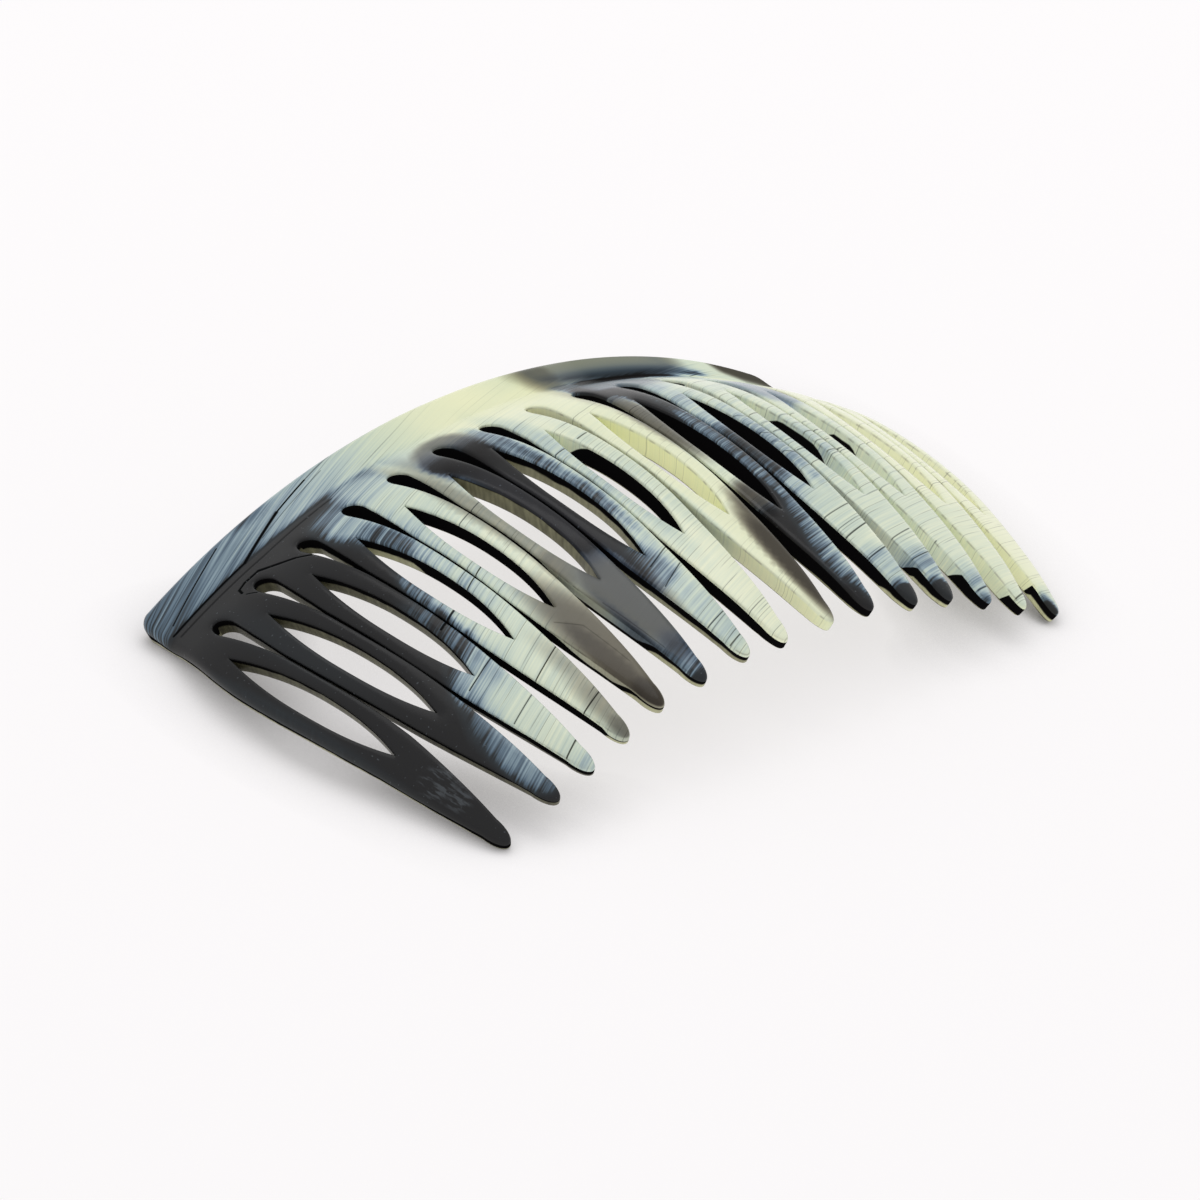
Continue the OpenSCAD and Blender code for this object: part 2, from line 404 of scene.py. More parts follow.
class Plan:
    """All outlines of the comb and what lies between them, in the flat plan."""

    def __init__(self):
        outer, rounds, teeth = outline_and_rounds()
        self.loops = [outer] + [eye_loop(k) for k in range(TOOTH_COUNT)]
        eyes = [np.full(len(loop), EYE_WALLS + k) for k, loop in enumerate(self.loops[1:])]
        self.walls = np.concatenate([teeth] + eyes)
        cuts = [np.repeat(CUT_ROUND[None], len(loop), 0) for loop in self.loops[1:]]
        self.rounds = np.concatenate([rounds] + cuts)
        self.uv = np.concatenate(self.loops)
        counts = [len(loop) for loop in self.loops]
        self.first = np.concatenate([[0], np.cumsum(counts)])
        self.next = np.arange(len(self.uv)) + 1
        self.next[self.first[1:] - 1] = self.first[:-1]
        self.last = np.empty_like(self.next)
        self.last[self.next] = np.arange(len(self.uv))
        self.xy = flat(self.uv)
        self.tree = KDTree(len(self.xy))
        for i, (x, y) in enumerate(self.xy):
            self.tree.insert((x, y, 0), i)
        self.tree.balance()

    def nearest(self, xy):
        """True distance of plan points to the outlines, and the rounding there."""
        found = np.array([[hit[1] for hit in self.tree.find_n((x, y, 0), NEAR_POINTS)] for x, y in xy])
        scale = np.stack([width_scale(-xy[:, 1] / TOOTH_LEN), np.ones(len(xy))], -1)[:, None]
        starts = np.concatenate([found, self.last[found]], 1)
        a = self.xy[starts] * scale
        b = self.xy[self.next[starts]] * scale
        p = xy[:, None] * scale
        along = b - a
        t = ((p - a) * along).sum(-1) / np.maximum((along ** 2).sum(-1), NO_LENGTH)
        t = np.clip(t, 0, 1)
        gap = np.linalg.norm(p - a - along * t[..., None], axis=-1)
        best = gap.argmin(1)
        rows = np.arange(len(xy))
        at, share = starts[rows, best], t[rows, best][:, None]
        rounds = self.rounds[at] * (1 - share) + self.rounds[self.next[at]] * share
        return gap[rows, best], rounds

    def inside(self, xy):
        """Which plan points lie in the material."""
        a, b = self.xy, self.xy[self.next]
        odd = np.zeros(len(xy), bool)
        for part in np.array_split(np.arange(len(xy)), max(1, len(xy) // INSIDE_PART)):
            x, y = xy[part, 0][:, None], xy[part, 1][:, None]
            spans = (a[:, 1] > y) != (b[:, 1] > y)
            rise = np.where(b[:, 1] == a[:, 1], 1, b[:, 1] - a[:, 1])
            cross = a[:, 0] + (y - a[:, 1]) * (b[:, 0] - a[:, 0]) / rise
            odd[part] = (spans & (x < cross)).sum(1) % 2 == 1
        return odd

    def ring_points(self):
        """Points beside the outlines, closer together towards the edge, for the roundings."""
        scale = np.stack([width_scale(self.uv[:, 1]), np.ones(len(self.uv))], -1)
        before = (self.xy - self.xy[self.last]) * scale
        after = (self.xy[self.next] - self.xy) * scale
        before /= np.linalg.norm(before, axis=1)[:, None]
        after /= np.linalg.norm(after, axis=1)[:, None]
        turn = np.arctan2(before[:, 0] * after[:, 1] - before[:, 1] * after[:, 0], (before * after).sum(1))
        rows = []
        for i in range(len(self.uv)):
            fan = 1 + int(max(0, -turn[i]) // FAN_TURN)
            reach = self.rounds[i, 0]
            steps = FEW_ROWS if reach < NARROW_ROUND else MANY_ROWS
            for j in range(fan):
                angle = turn[i] * ((j + 0.5) / fan) if fan > 1 else turn[i] / 2
                way = np.array([before[i, 0] * cos(angle) - before[i, 1] * sin(angle),
                                before[i, 0] * sin(angle) + before[i, 1] * cos(angle)])
                normal = np.array([-way[1], way[0]])
                for s in range(1, steps + 1):
                    d = reach * (1 - cos(pi / 2 * s / steps))
                    rows.append((*(self.xy[i] + normal * d / scale[i]), d))
                beyond = reach + BEYOND_ROUND
                rows.append((*(self.xy[i] + normal * beyond / scale[i]), beyond))
        rows = np.array(rows)
        gap, _ = self.nearest(rows[:, :2])
        keep = (gap > rows[:, 2] * KEPT_GAP) & self.inside(rows[:, :2])
        return rows[keep, :2]

    def fill_points(self, spacing):
        """A grid of points between the outlines, and rows along the groove."""
        low, high = self.xy.min(0), self.xy.max(0)
        rows = []
        for j, y in enumerate(np.arange(low[1], high[1], spacing * sqrt(3) / 2)):
            x = np.arange(low[0] + (j % 2) * spacing / 2, high[0], spacing)
            rows.append(np.stack([x, np.full_like(x, y)], -1))
        groove_y = -GROOVE_V * TOOTH_LEN
        grid = np.concatenate(rows)
        grid = grid[np.abs(grid[:, 1] - groove_y) > GROOVE_CLEAR]
        lines = [grid]
        for off in GROOVE_ROWS:
            x = np.arange(low[0], high[0], spacing * GROOVE_SPACING)
            lines.append(np.stack([x, np.full_like(x, groove_y + off)], -1))
        grid = np.concatenate(lines)
        grid = grid[self.inside(grid)]
        gap, rounds = self.nearest(grid)
        return grid[gap > rounds[:, 0] + ROUND_CLEAR]


def triangles(plan, extra):
    """Triangles of the plan between its outlines, over the outline points and the extra ones."""
    points = np.concatenate([plan.xy, extra])
    edges = [(int(i), int(plan.next[i])) for i in range(len(plan.xy))]
    out = delaunay_2d_cdt([Vector(p) for p in points], edges, [], 1, MERGE_DISTANCE)
    sources = [ids[0] for ids in out[3]]
    tris = np.array([[sources[i] for i in face] for face in out[2] if len(face) == 3])
    owner = np.searchsorted(plan.first[1:], tris, side="right")
    same_eye = (owner[:, 0] == owner[:, 1]) & (owner[:, 1] == owner[:, 2]) & (owner[:, 0] > 0)
    in_eye = same_eye & (tris < len(plan.xy)).all(1)
    tris = tris[~in_eye]
    middle = points[tris].mean(1)
    tris = tris[plan.inside(middle)]
    a, b, c = (points[tris[:, i]] for i in range(3))
    turned = (b[:, 0] - a[:, 0]) * (c[:, 1] - a[:, 1]) - (b[:, 1] - a[:, 1]) * (c[:, 0] - a[:, 0]) < 0
    tris[turned] = tris[turned][:, ::-1]
    return points, tris


def face_drop(gap, reach, drop):
    """How far a face lies below its full height, at a distance from the edge."""
    t = np.clip(1 - gap / reach, 0, 1)
    swell = np.clip(1 - gap / SWELL_REACH, 0, 1) ** 2 * SWELL_DROP
    return drop * (1 - np.sqrt(1 - t * t)) + swell


WALL_ROWS = 3
# What a point of the mesh belongs to: a tooth's side by the tooth's number, or one of these
EYE_WALLS = TOOTH_COUNT
BACK_WALL = 2 * TOOTH_COUNT
OUTER_FACE = BACK_WALL + 1
HOLLOW_FACE = BACK_WALL + 2


def comb_mesh():
    """The comb as one closed mesh, with its flat coordinates in the attribute horn."""
    plan = Plan()
    extra = np.concatenate([plan.ring_points(), plan.fill_points(GRID_SPACING)])
    points, tris = triangles(plan, extra)
    gap, rounds = plan.nearest(points)
    edge_count = len(plan.xy)
    gap[:edge_count] = 0
    rounds[:edge_count] = plan.rounds
    u = points[:, 0] / (PITCH * FLAT_R)
    v = -points[:, 1] / TOOTH_LEN
    thick = thickness(v)
    top = face_drop(gap, rounds[:, 0], rounds[:, 1]) / thick
    under = 1 - face_drop(gap, rounds[:, 0], rounds[:, 2]) / thick

    count = len(points)
    wall_share = np.arange(1, WALL_ROWS) / WALL_ROWS
    edge = np.arange(edge_count)
    wall_depth = top[:edge_count] + wall_share[:, None] * (under - top)[:edge_count]
    all_u = np.concatenate([u, u, np.tile(u[edge], len(wall_share))])
    all_v = np.concatenate([v, v, np.tile(v[edge], len(wall_share))])
    depth = np.concatenate([top, under, wall_depth.ravel()])
    stout = smooth(*STOUT_FROM, all_u) * (1 - smooth(*STOUT_TO, all_u))
    stout = stout * (1 - smooth(*STOUT_TIP, all_v))
    place = laid(all_u, all_v, depth * (1 + STOUT_SHARE * stout))

    columns = [edge] + [2 * count + i * edge_count + edge for i in range(len(wall_share))] + [count + edge]
    quads = []
    for upper, lower in zip(columns[:-1], columns[1:]):
        quads.append(np.stack([upper, lower, lower[plan.next], upper[plan.next]], -1))
    faces = tris.tolist() + (tris[:, ::-1] + count).tolist() + np.concatenate(quads).tolist()
    inner_count = count - edge_count
    sides = np.concatenate([
        plan.walls, np.full(inner_count, OUTER_FACE), plan.walls, np.full(inner_count, HOLLOW_FACE),
        np.tile(plan.walls, len(wall_share)),
    ])
    return place, faces, np.stack([all_u, all_v, depth], -1), sides


# Where the horn is dark, pale or brown, charted in u and v
# A tone is 0 for black horn, about 0.3 for slate blue, 0.7 for pale grey-green and 1 for cream

# Outlines of the black parts of the outer face
BLACK_LEFT = np.array([
    (-8.6, -0.084), (-5.2, -0.084), (-4.2, -0.078), (-3.1, -0.068), (-2.9, -0.06), (-3.4, -0.052),
    (-3.9, -0.04), (-4.2, -0.02), (-4.28, 0.0), (-4.35, 0.05), (-4.32, 0.1), (-4.2, 0.16),
    (-4.15, 0.22), (-4.2, 0.27), (-4.35, 0.33), (-4.55, 0.38), (-4.66, 0.45), (-4.8, 0.52),
    (-4.95, 0.56), (-5.15, 0.57), (-5.35, 0.6), (-5.5, 0.63), (-5.6, 0.68), (-5.8, 0.71),
    (-5.98, 0.75), (-6.1, 0.82), (-6.15, 0.9), (-6.1, 0.945), (-5.95, 0.965), (-5.65, 0.98),
    (-5.5, 1.06), (-8.6, 1.06),
])
BLACK_MIDDLE = np.array([
    (-2.2, 0.1), (-2.12, 0.04), (-1.95, -0.01), (-1.72, -0.036), (-1.45, -0.05), (-1.15, -0.044),
    (-0.95, -0.022), (-0.9, 0.03), (-0.96, 0.1), (-0.98, 0.2), (-1.05, 0.4), (-1.05, 0.6),
    (-1.15, 0.645), (-1.25, 0.68), (-1.38, 0.72), (-1.5, 0.74), (-1.6, 0.66), (-1.75, 0.63),
    (-1.95, 0.62), (-1.95, 0.4), (-1.95, 0.18), (-2.05, 0.14),
])
BLACK_RIGHT = np.array([
    (1.62, 0.0), (1.75, -0.035), (2.1, -0.045), (2.42, -0.035), (2.48, 0.0), (2.42, 0.1), (2.42, 0.45),
    (2.36, 0.58), (2.17, 0.615), (2.0, 0.66), (1.92, 0.72), (1.8, 0.78), (1.74, 0.85), (1.82, 0.9),
    (2.05, 0.93), (2.2, 1.03), (1.4, 1.03), (1.4, 0.63), (1.6, 0.59), (1.8, 0.6), (2.05, 0.52),
    (2.05, 0.3), (1.92, 0.17), (1.72, 0.15), (1.58, 0.08),
])
BLACK_STRIP = np.array([
    (1.95, -0.07), (2.2, -0.084), (3.2, -0.088), (4.25, -0.086), (4.35, -0.072), (3.9, -0.054),
    (3.3, -0.046), (2.6, -0.044), (2.1, -0.052),
])
BLACK_BACK = np.array([
    (1.6, -0.23), (1.52, -0.14), (1.62, -0.124), (1.95, -0.11), (2.4, -0.1), (3.0, -0.091),
    (4.3, -0.088), (4.95, -0.092), (5.0, -0.102), (4.55, -0.125), (4.35, -0.15), (4.4, -0.18), (4.5, -0.23),
])
BROWN_BACK = np.array([
    (5.8, -0.175), (5.85, -0.14), (6.2, -0.118), (6.8, -0.118), (7.3, -0.135), (8.2, -0.16), (8.2, -0.23),
    (5.9, -0.23),
])

# How the tone rises with the distance from a black part, in millimetres
# Columns: distance, tone
WIDE_RISE = np.array([
    (-0.6, 0.0), (0.0, 0.06), (1.0, 0.16), (2.3, 0.3), (4.0, 0.52), (6.5, 0.72), (11.0, 0.9), (17.0, 1.0),
])
SHORT_RISE = np.array([
    (-0.5, 0.0), (0.0, 0.08), (1.0, 0.26), (2.0, 0.4), (3.2, 0.64), (5.0, 0.8), (9.0, 0.93), (13.0, 1.0),
])
CRISP_RISE = np.array([(-0.7, 0.0), (0.0, 0.22), (0.7, 0.66), (1.5, 0.88), (3.0, 0.94), (8.0, 1.0)])
SHARP_RISE = np.array([(-0.3, 0.0), (0.0, 0.12), (0.6, 0.45), (1.6, 0.80), (4.0, 0.94), (9.0, 1.0)])

# Tone of the back's band along the comb
# Columns: u, tone
BACK_TONE = np.array([
    (-7.4, 0.08), (-7.1, 0.22), (-6.6, 0.29), (-6.0, 0.31), (-5.0, 0.36), (-4.2, 0.43), (-3.5, 0.5),
    (-2.7, 0.62), (-2.0, 0.76), (-1.0, 0.94), (0.0, 1.0), (4.6, 0.94), (5.4, 0.86), (8.0, 0.8),
])
# Where the band begins above the groove
BAND_FROM, BAND_TO = -0.082, -0.093

# Smaller changes of tone, one laid over the other, after the squarer ones below
# Columns: u, v, half u, half v, softness, tone, strength
TONE_PATCHES = np.array([
    (2.27, 0.42, 0.13, 0.24, 0.5, 0.3, 0.9),
    (-2.95, -0.02, 0.45, 0.06, 0.5, 0.6, 0.85),
    (-2.75, 0.12, 0.4, 0.07, 0.5, 0.78, 0.8),
    (-2.36, 0.03, 0.14, 0.1, 0.6, 0.84, 0.9),
    (4.5, 0.0, 0.35, 0.07, 0.6, 0.66, 0.8),
    (-4.45, -0.18, 0.4, 0.022, 0.6, 0.14, 0.9),
    (-7.42, 0.35, 0.12, 0.45, 0.6, 0.08, 0.8),
    (-6.3, 0.25, 0.3, 0.22, 0.7, 0.05, 0.8),
    (-5.85, 0.89, 0.2, 0.07, 0.7, 0.4, 0.8),
    (-4.72, 0.5, 0.18, 0.11, 0.5, 0.19, 0.8),
    (-4.33, 0.38, 0.13, 0.06, 0.6, 0.22, 0.8),
    (-4.28, 0.52, 0.13, 0.09, 0.5, 0.74, 0.9),
    (-3.95, 0.08, 0.28, 0.045, 0.5, 0.56, 0.85),
    (-3.76, 0.2, 0.2, 0.07, 0.5, 0.16, 0.9),
    (-3.76, 0.44, 0.2, 0.1, 0.5, 0.62, 0.9),
    (-3.32, 0.48, 0.14, 0.12, 0.5, 0.7, 0.8),
    (-5.15, 0.68, 0.4, 0.05, 0.6, 0.48, 0.8),
    (-5.05, 0.86, 0.4, 0.18, 0.5, 0.8, 0.9),
    (-5.05, 0.98, 0.3, 0.03, 0.8, 0.56, 0.7),
    (-4.05, 0.72, 0.45, 0.16, 0.5, 0.84, 0.9),
    (-0.78, 0.09, 0.17, 0.1, 0.4, 0.44, 0.9),
    (-0.76, 0.34, 0.17, 0.24, 0.5, 0.18, 0.92),
    (-1.12, 0.69, 0.32, 0.08, 0.7, 0.26, 0.85),
    (-1.02, 0.87, 0.42, 0.12, 0.6, 0.67, 1.0),
    (-0.33, 0.33, 0.28, 0.32, 0.5, 0.6, 0.85),
    (0.26, 0.4, 0.22, 0.22, 0.5, 0.78, 0.8),
    (-2.08, 0.93, 0.34, 0.075, 0.5, 0.22, 0.95),
    (-2.4, 0.86, 0.08, 0.16, 0.7, 0.08, 0.7),
    (-2.1, 1.0, 0.3, 0.03, 0.5, 0.02, 0.9),
    (2.68, 0.17, 0.22, 0.17, 0.4, 0.58, 1.0),
    (2.66, 0.43, 0.24, 0.12, 0.35, 0.12, 1.0),
    (2.75, 0.58, 0.26, 0.03, 0.6, 0.58, 0.8),
    (3.3, 0.4, 0.2, 0.18, 0.5, 0.44, 0.9),
    (2.95, 0.7, 0.5, 0.08, 0.5, 0.78, 0.9),
    (3.05, 0.86, 0.5, 0.05, 0.6, 0.52, 0.9),
    (3.1, 0.98, 0.45, 0.055, 0.3, 0.04, 1.0),
    (4.0, 0.4, 0.48, 0.11, 0.6, 0.62, 0.8),
    (3.98, 0.87, 0.45, 0.055, 0.6, 0.46, 0.9),
    (4.0, 0.98, 0.45, 0.055, 0.3, 0.04, 1.0),
    (5.05, 0.94, 0.35, 0.06, 0.7, 0.48, 0.9),
    (4.95, 1.0, 0.3, 0.03, 0.6, 0.1, 0.8),
    (5.95, 0.97, 0.35, 0.04, 0.8, 0.76, 0.6),
    (7.05, 0.92, 0.25, 0.03, 0.7, 0.66, 0.5),
    (6.85, 0.975, 0.25, 0.045, 0.5, 0.03, 1.0),
])

# The same within squarer bounds, for single teeth and prongs
TONE_BLOCKS = np.array([
    (1.0, 0.42, 0.46, 0.6, 0.08, 0.96, 1.0),
    (0.25, -0.04, 1.1, 0.075, 0.25, 0.97, 1.0),
    (-0.1, 0.8, 0.48, 0.26, 0.15, 0.96, 0.8),
    (3.95, 0.45, 0.5, 0.42, 0.2, 0.8, 0.8),
    (5.0, 0.5, 0.5, 0.5, 0.2, 0.84, 0.85),
    (6.0, 0.82, 0.5, 0.2, 0.3, 0.87, 0.7),
    (2.58, -0.005, 0.74, 0.036, 0.3, 0.48, 0.9),
    (4.98, 0.11, 0.4, 0.09, 0.15, 0.52, 0.95),
    (-2.38, 0.34, 0.2, 0.29, 0.2, 0.86, 1.0),
    (-1.98, 0.8, 0.5, 0.22, 0.2, 0.66, 0.95),
    (1.66, 0.37, 0.24, 0.26, 0.15, 0.86, 1.0),
    # The last row lightens the top of the back's black part: a painted reflection on its rounded edge,
    # where the polish is turned off
    (3.05, -0.192, 1.8, 0.066, 0.55, 0.78, 0.95),
])

# Brown clouds below the surface, without fibres
# Columns: u, v, half u, half v, softness, depth
BROWN_PATCHES = np.array([
    (-3.2, 0.84, 0.24, 0.19, 0.45, 1.5),
    (-3.05, 0.8, 0.44, 0.24, 0.45, 1.1),
    (-3.12, 0.64, 0.3, 0.1, 0.6, 0.35),
    (-3.18, 0.95, 0.3, 0.07, 0.6, 1.9),
    (-3.92, 0.92, 0.26, 0.11, 0.6, 0.58),
    (-4.02, 0.975, 0.18, 0.045, 0.6, 0.92),
    (-3.8, 0.83, 0.2, 0.13, 0.7, 0.42),
    (-2.42, 0.36, 0.2, 0.36, 0.4, 0.52),
    (-2.4, 0.56, 0.22, 0.08, 0.5, 0.85),
    (-2.12, 0.08, 0.25, 0.1, 0.6, 0.35),
    (-1.98, 0.72, 0.6, 0.18, 0.35, 1.08),
    (1.18, 0.81, 0.29, 0.18, 0.35, 1.7),
    (1.34, 0.68, 0.2, 0.11, 0.5, 1.3),
    (1.42, 0.05, 0.2, 0.1, 0.6, 0.28),
    (1.64, 0.24, 0.25, 0.17, 0.4, 1.05),
    (1.66, 0.6, 0.22, 0.06, 0.4, 1.5),
    (2.45, 0.0, 0.85, 0.055, 0.5, 0.4),
    (4.98, 0.11, 0.45, 0.1, 0.4, 0.22),
    (3.0, -0.165, 1.85, 0.1, 0.15, 0.6),
    (1.62, -0.15, 0.38, 0.08, 0.6, 1.0),
])

# Where the horn is plain, without its fibres
# Columns: u, v, half u, half v, softness, calmness
CALM_PATCHES = np.array([
    (2.9, -0.17, 2.1, 0.09, 0.3, 1.0),
    (6.5, -0.17, 1.3, 0.08, 0.3, 1.0),
    (0.0, -0.13, 1.8, 0.11, 0.5, 0.75),
    (2.4, -0.02, 0.8, 0.08, 0.4, 0.9),
    (-1.8, 0.04, 0.6, 0.12, 0.4, 0.8),
    (-6.2, -0.14, 3.6, 0.1, 0.3, 0.25),
    (-5.9, 0.84, 0.5, 0.22, 0.3, 0.35),
    (-1.72, 0.38, 0.34, 0.42, 0.3, 0.9),
    (-2.05, 0.72, 0.55, 0.2, 0.3, 0.9),
    (-3.05, 0.84, 0.4, 0.22, 0.3, 0.85),
    (1.15, 0.79, 0.26, 0.2, 0.3, 0.9),
    (1.0, 0.5, 0.6, 0.6, 0.3, 0.5),
    (5.0, 0.08, 0.6, 0.13, 0.4, 0.8),
    (6.2, 0.5, 1.5, 0.6, 0.5, 0.35),
])

# The back's brown part and its rim in millimetres, and the tone that its black part keeps
BROWN_BACK_DEPTH = 1.35
BROWN_BACK_RIM = (-0.5, 1.5)
BLACK_BACK_TONE = 0.2
# Power of a patch's outline: an oval, or nearly a square
OVAL, SQUARE = 2, 8

# Above the slots the middle black part thins out to a brown film over pale horn
# The film and its brown fade between two shares of the length, and across the outline in millimetres
FILM_FADE = (-0.03, 0.11)
FILM_BROWN_FADE = (0.05, 0.24)
FILM_RIM = (-0.9, 0.7)
FILM_TONE = 0.70
FILM_DEPTH = 0.85

# Where the pale horn is yellow rather than greenish; a negative depth makes it lilac
# Columns: u, v, half u, half v, softness, depth
YELLOW_PATCHES = np.array([
    (0.4, -0.13, 2.6, 0.12, 0.9, 0.7),
    (1.0, 0.5, 0.6, 0.6, 0.4, 0.35),
    (6.6, 0.75, 1.2, 0.35, 0.6, 0.2),
    (4.98, 0.11, 0.45, 0.1, 0.4, -0.6),
    (2.45, 0.0, 0.85, 0.06, 0.5, -0.4),
    (-1.85, 0.5, 0.45, 0.5, 0.3, -0.5),
    (1.5, -0.165, 0.4, 0.085, 0.6, 0.8),
])
YELLOW_LEAST = 0.05

# Layers of the horn on the walls of the cuts: the face's tone, then black, then a lower layer
# Each row holds from its v on, until a later row for the same wall
# Columns: tooth, 0 for its sides or 1 for its eye, v from, v to reach the full values, depth share
# where the black starts, where it ends, tone of the lower layer
WALL_LAYERS = np.array([
    # In the first row, the pale lower layer along the bottom of the first tooth's outer wall is a painted
    # highlight on its rounded edge
    (0, 0, -0.3, -0.2, 0.02, 0.74, 0.62),
    (1, 0, -0.3, -0.2, 0.0, 0.4, 0.16),
    (2, 0, -0.3, -0.2, 0.0, 0.4, 0.24),
    (2, 0, 0.3, 0.6, 0.05, 0.68, 0.16),
    (3, 0, -0.3, -0.2, 0.0, 0.6, 0.4),
    (3, 0, 0.2, 0.4, 0.12, 1.2, 0.3),
    (3, 0, 0.93, 0.97, 0.5, 0.6, 0.85),
    (4, 0, -0.3, -0.2, 0.12, 1.2, 0.5),
    (4, 0, 0.66, 0.8, 0.62, 1.2, 0.5),
    (4, 0, 0.86, 0.93, 0.1, 0.5, 0.8),
    (5, 0, -0.3, -0.2, 0.1, 1.2, 0.5),
    (5, 0, 0.48, 0.6, 0.66, 1.2, 0.5),
    (5, 0, 0.8, 0.88, 0.1, 0.55, 0.75),
    (6, 0, -0.3, -0.2, 0.1, 1.2, 0.5),
    (6, 0, 0.48, 0.6, 0.12, 0.62, 0.55),
    (7, 0, -0.3, -0.2, 0.14, 1.2, 0.5),
    (9, 0, -0.3, -0.2, 0.12, 1.2, 0.6),
    (9, 0, 0.6, 0.9, 0.12, 0.8, 0.8),
    (10, 0, -0.3, -0.2, 0.08, 1.2, 0.8),
    (10, 0, 0.86, 0.94, 0.1, 0.66, 0.9),
    (11, 0, -0.3, -0.2, 0.08, 1.2, 0.8),
    (11, 0, 0.04, 0.1, 2.0, 3.0, 0.9),
    (11, 0, 0.79, 0.9, 0.12, 0.66, 0.92),
    (12, 0, -0.3, -0.2, 0.04, 1.2, 0.8),
    (12, 0, 0.13, 0.17, 2.0, 3.0, 0.9),
    (12, 0, 0.82, 0.92, 0.1, 1.2, 0.9),
    (13, 0, -0.3, -0.2, 0.04, 1.2, 0.8),
    (13, 0, 0.09, 0.13, 2.0, 3.0, 0.9),
    (13, 0, 0.91, 0.96, 0.1, 1.2, 0.9),
    (14, 0, 0.87, 0.9, 0.02, 0.64, 0.9),
    (0, 1, 0.0, 0.1, 0.0, 0.34, 0.22),
    (1, 1, 0.0, 0.1, 0.0, 0.36, 0.26),
    (2, 1, 0.0, 0.1, 0.0, 0.42, 0.26),
    (3, 1, 0.0, 0.1, 0.08, 0.55, 0.75),
    (3, 1, 0.28, 0.36, 0.08, 1.2, 0.5),
    (4, 1, 0.0, 0.1, 0.1, 1.2, 0.5),
    (5, 1, 0.0, 0.1, 0.0, 0.16, 0.36),
    (6, 1, 0.0, 0.1, 0.0, 0.5, 0.52),
    (7, 1, 0.1, 0.28, 0.1, 1.2, 0.5),
    (9, 1, 0.0, 0.1, 0.0, 1.2, 0.55),
    (10, 1, 0.0, 0.1, 0.08, 1.2, 0.5),
    (11, 1, 0.14, 0.3, 0.24, 1.2, 0.5),
    (11, 1, 0.4, 0.62, 2.0, 3.0, 0.9),
    (12, 1, 0.0, 0.05, 0.1, 1.2, 0.5),
    (12, 1, 0.13, 0.21, 2.0, 3.0, 0.9),
    (12, 1, 0.22, 0.34, 0.32, 1.2, 0.5),
    (12, 1, 0.38, 0.58, 2.0, 3.0, 0.9),
])
NO_BLACK = (2.0, 3.0, 0.9)
# The hollow face shows the lower layer, its tone following the outer face's
HOLLOW_LAYERS = (0.0, 0.5)
HOLLOW_TONE = (0.2, 0.75)


def outline_gap(u, v, outline):
    """Distance in millimetres from a closed outline of u and v, negative inside it."""
    a = flat(outline)
    b = np.roll(a, -1, 0)
    p = flat(np.stack([u, v], -1))
    best = np.full(len(p), np.inf)
    odd = np.zeros(len(p), bool)
    for start, stop in zip(a, b):
        way = stop - start
        t = np.clip(((p - start) @ way) / (way @ way), 0, 1)
        best = np.minimum(best, np.linalg.norm(p - start - t[:, None] * way, axis=1))
        spans = (start[1] > p[:, 1]) != (stop[1] > p[:, 1])
        if way[1]:
            odd ^= spans & (p[:, 0] < start[0] + (p[:, 1] - start[1]) * way[0] / way[1])
    return np.where(odd, -best, best)


def rise(u, v, outline, table):
    return read_off(table, outline_gap(u, v, outline))


def patch_share(u, v, patch, power=OVAL):
    """1 in the middle of a patch, falling to 0 across its soft rim."""
    middle_u, middle_v, half_u, half_v, soft = patch
    away_u, away_v = np.abs(u - middle_u) / half_u, np.abs(v - middle_v) / half_v
    away = (away_u ** power + away_v ** power) ** (1 / power)
    return 1 - smooth(1 - soft, 1 + soft, away)


def patched(u, v, patches):
    """Depths of all patches, each under its share."""
    return [patch_share(u, v, patch) * depth for *patch, depth in patches]


def tone_chart(horn):
    """For each point of the mesh: tone of the face, depth of brown, yellowness."""
    u, v = horn[:, 0], horn[:, 1]
    middle_gap = outline_gap(u, v, BLACK_MIDDLE)
    film = 1 - smooth(*FILM_FADE, v)
    in_film = 1 - smooth(*FILM_RIM, middle_gap)
    middle = read_off(CRISP_RISE, middle_gap)
    tone = np.minimum.reduce([
        rise(u, v, BLACK_LEFT, WIDE_RISE),
        middle * (1 - film) + film * (1 - in_film * (1 - FILM_TONE)),
        rise(u, v, BLACK_RIGHT, SHORT_RISE),
        rise(u, v, BLACK_STRIP, SHARP_RISE),
    ])
    band = read_off(BACK_TONE, u)
    band = np.minimum(band, np.maximum(rise(u, v, BLACK_BACK, SHARP_RISE), BLACK_BACK_TONE))
    share = smooth(BAND_FROM, BAND_TO, v)
    tone = tone * (1 - share) + band * share
    for rows, power in ((TONE_BLOCKS, SQUARE), (TONE_PATCHES, OVAL)):
        for *patch, own_tone, strength in rows:
            share = patch_share(u, v, patch, power) * strength
            tone = tone * (1 - share) + own_tone * share
    in_back = 1 - smooth(*BROWN_BACK_RIM, outline_gap(u, v, BROWN_BACK))
    brown = np.maximum.reduce([
        *patched(u, v, BROWN_PATCHES),
        FILM_DEPTH * in_film * (1 - smooth(*FILM_BROWN_FADE, v)),
        BROWN_BACK_DEPTH * in_back,
    ])
    yellow = YELLOW_LEAST + sum(patched(u, v, YELLOW_PATCHES))
    return np.stack([tone, brown, yellow], -1)


def calm_chart(horn):
    return np.max(patched(horn[:, 0], horn[:, 1], CALM_PATCHES), axis=0)


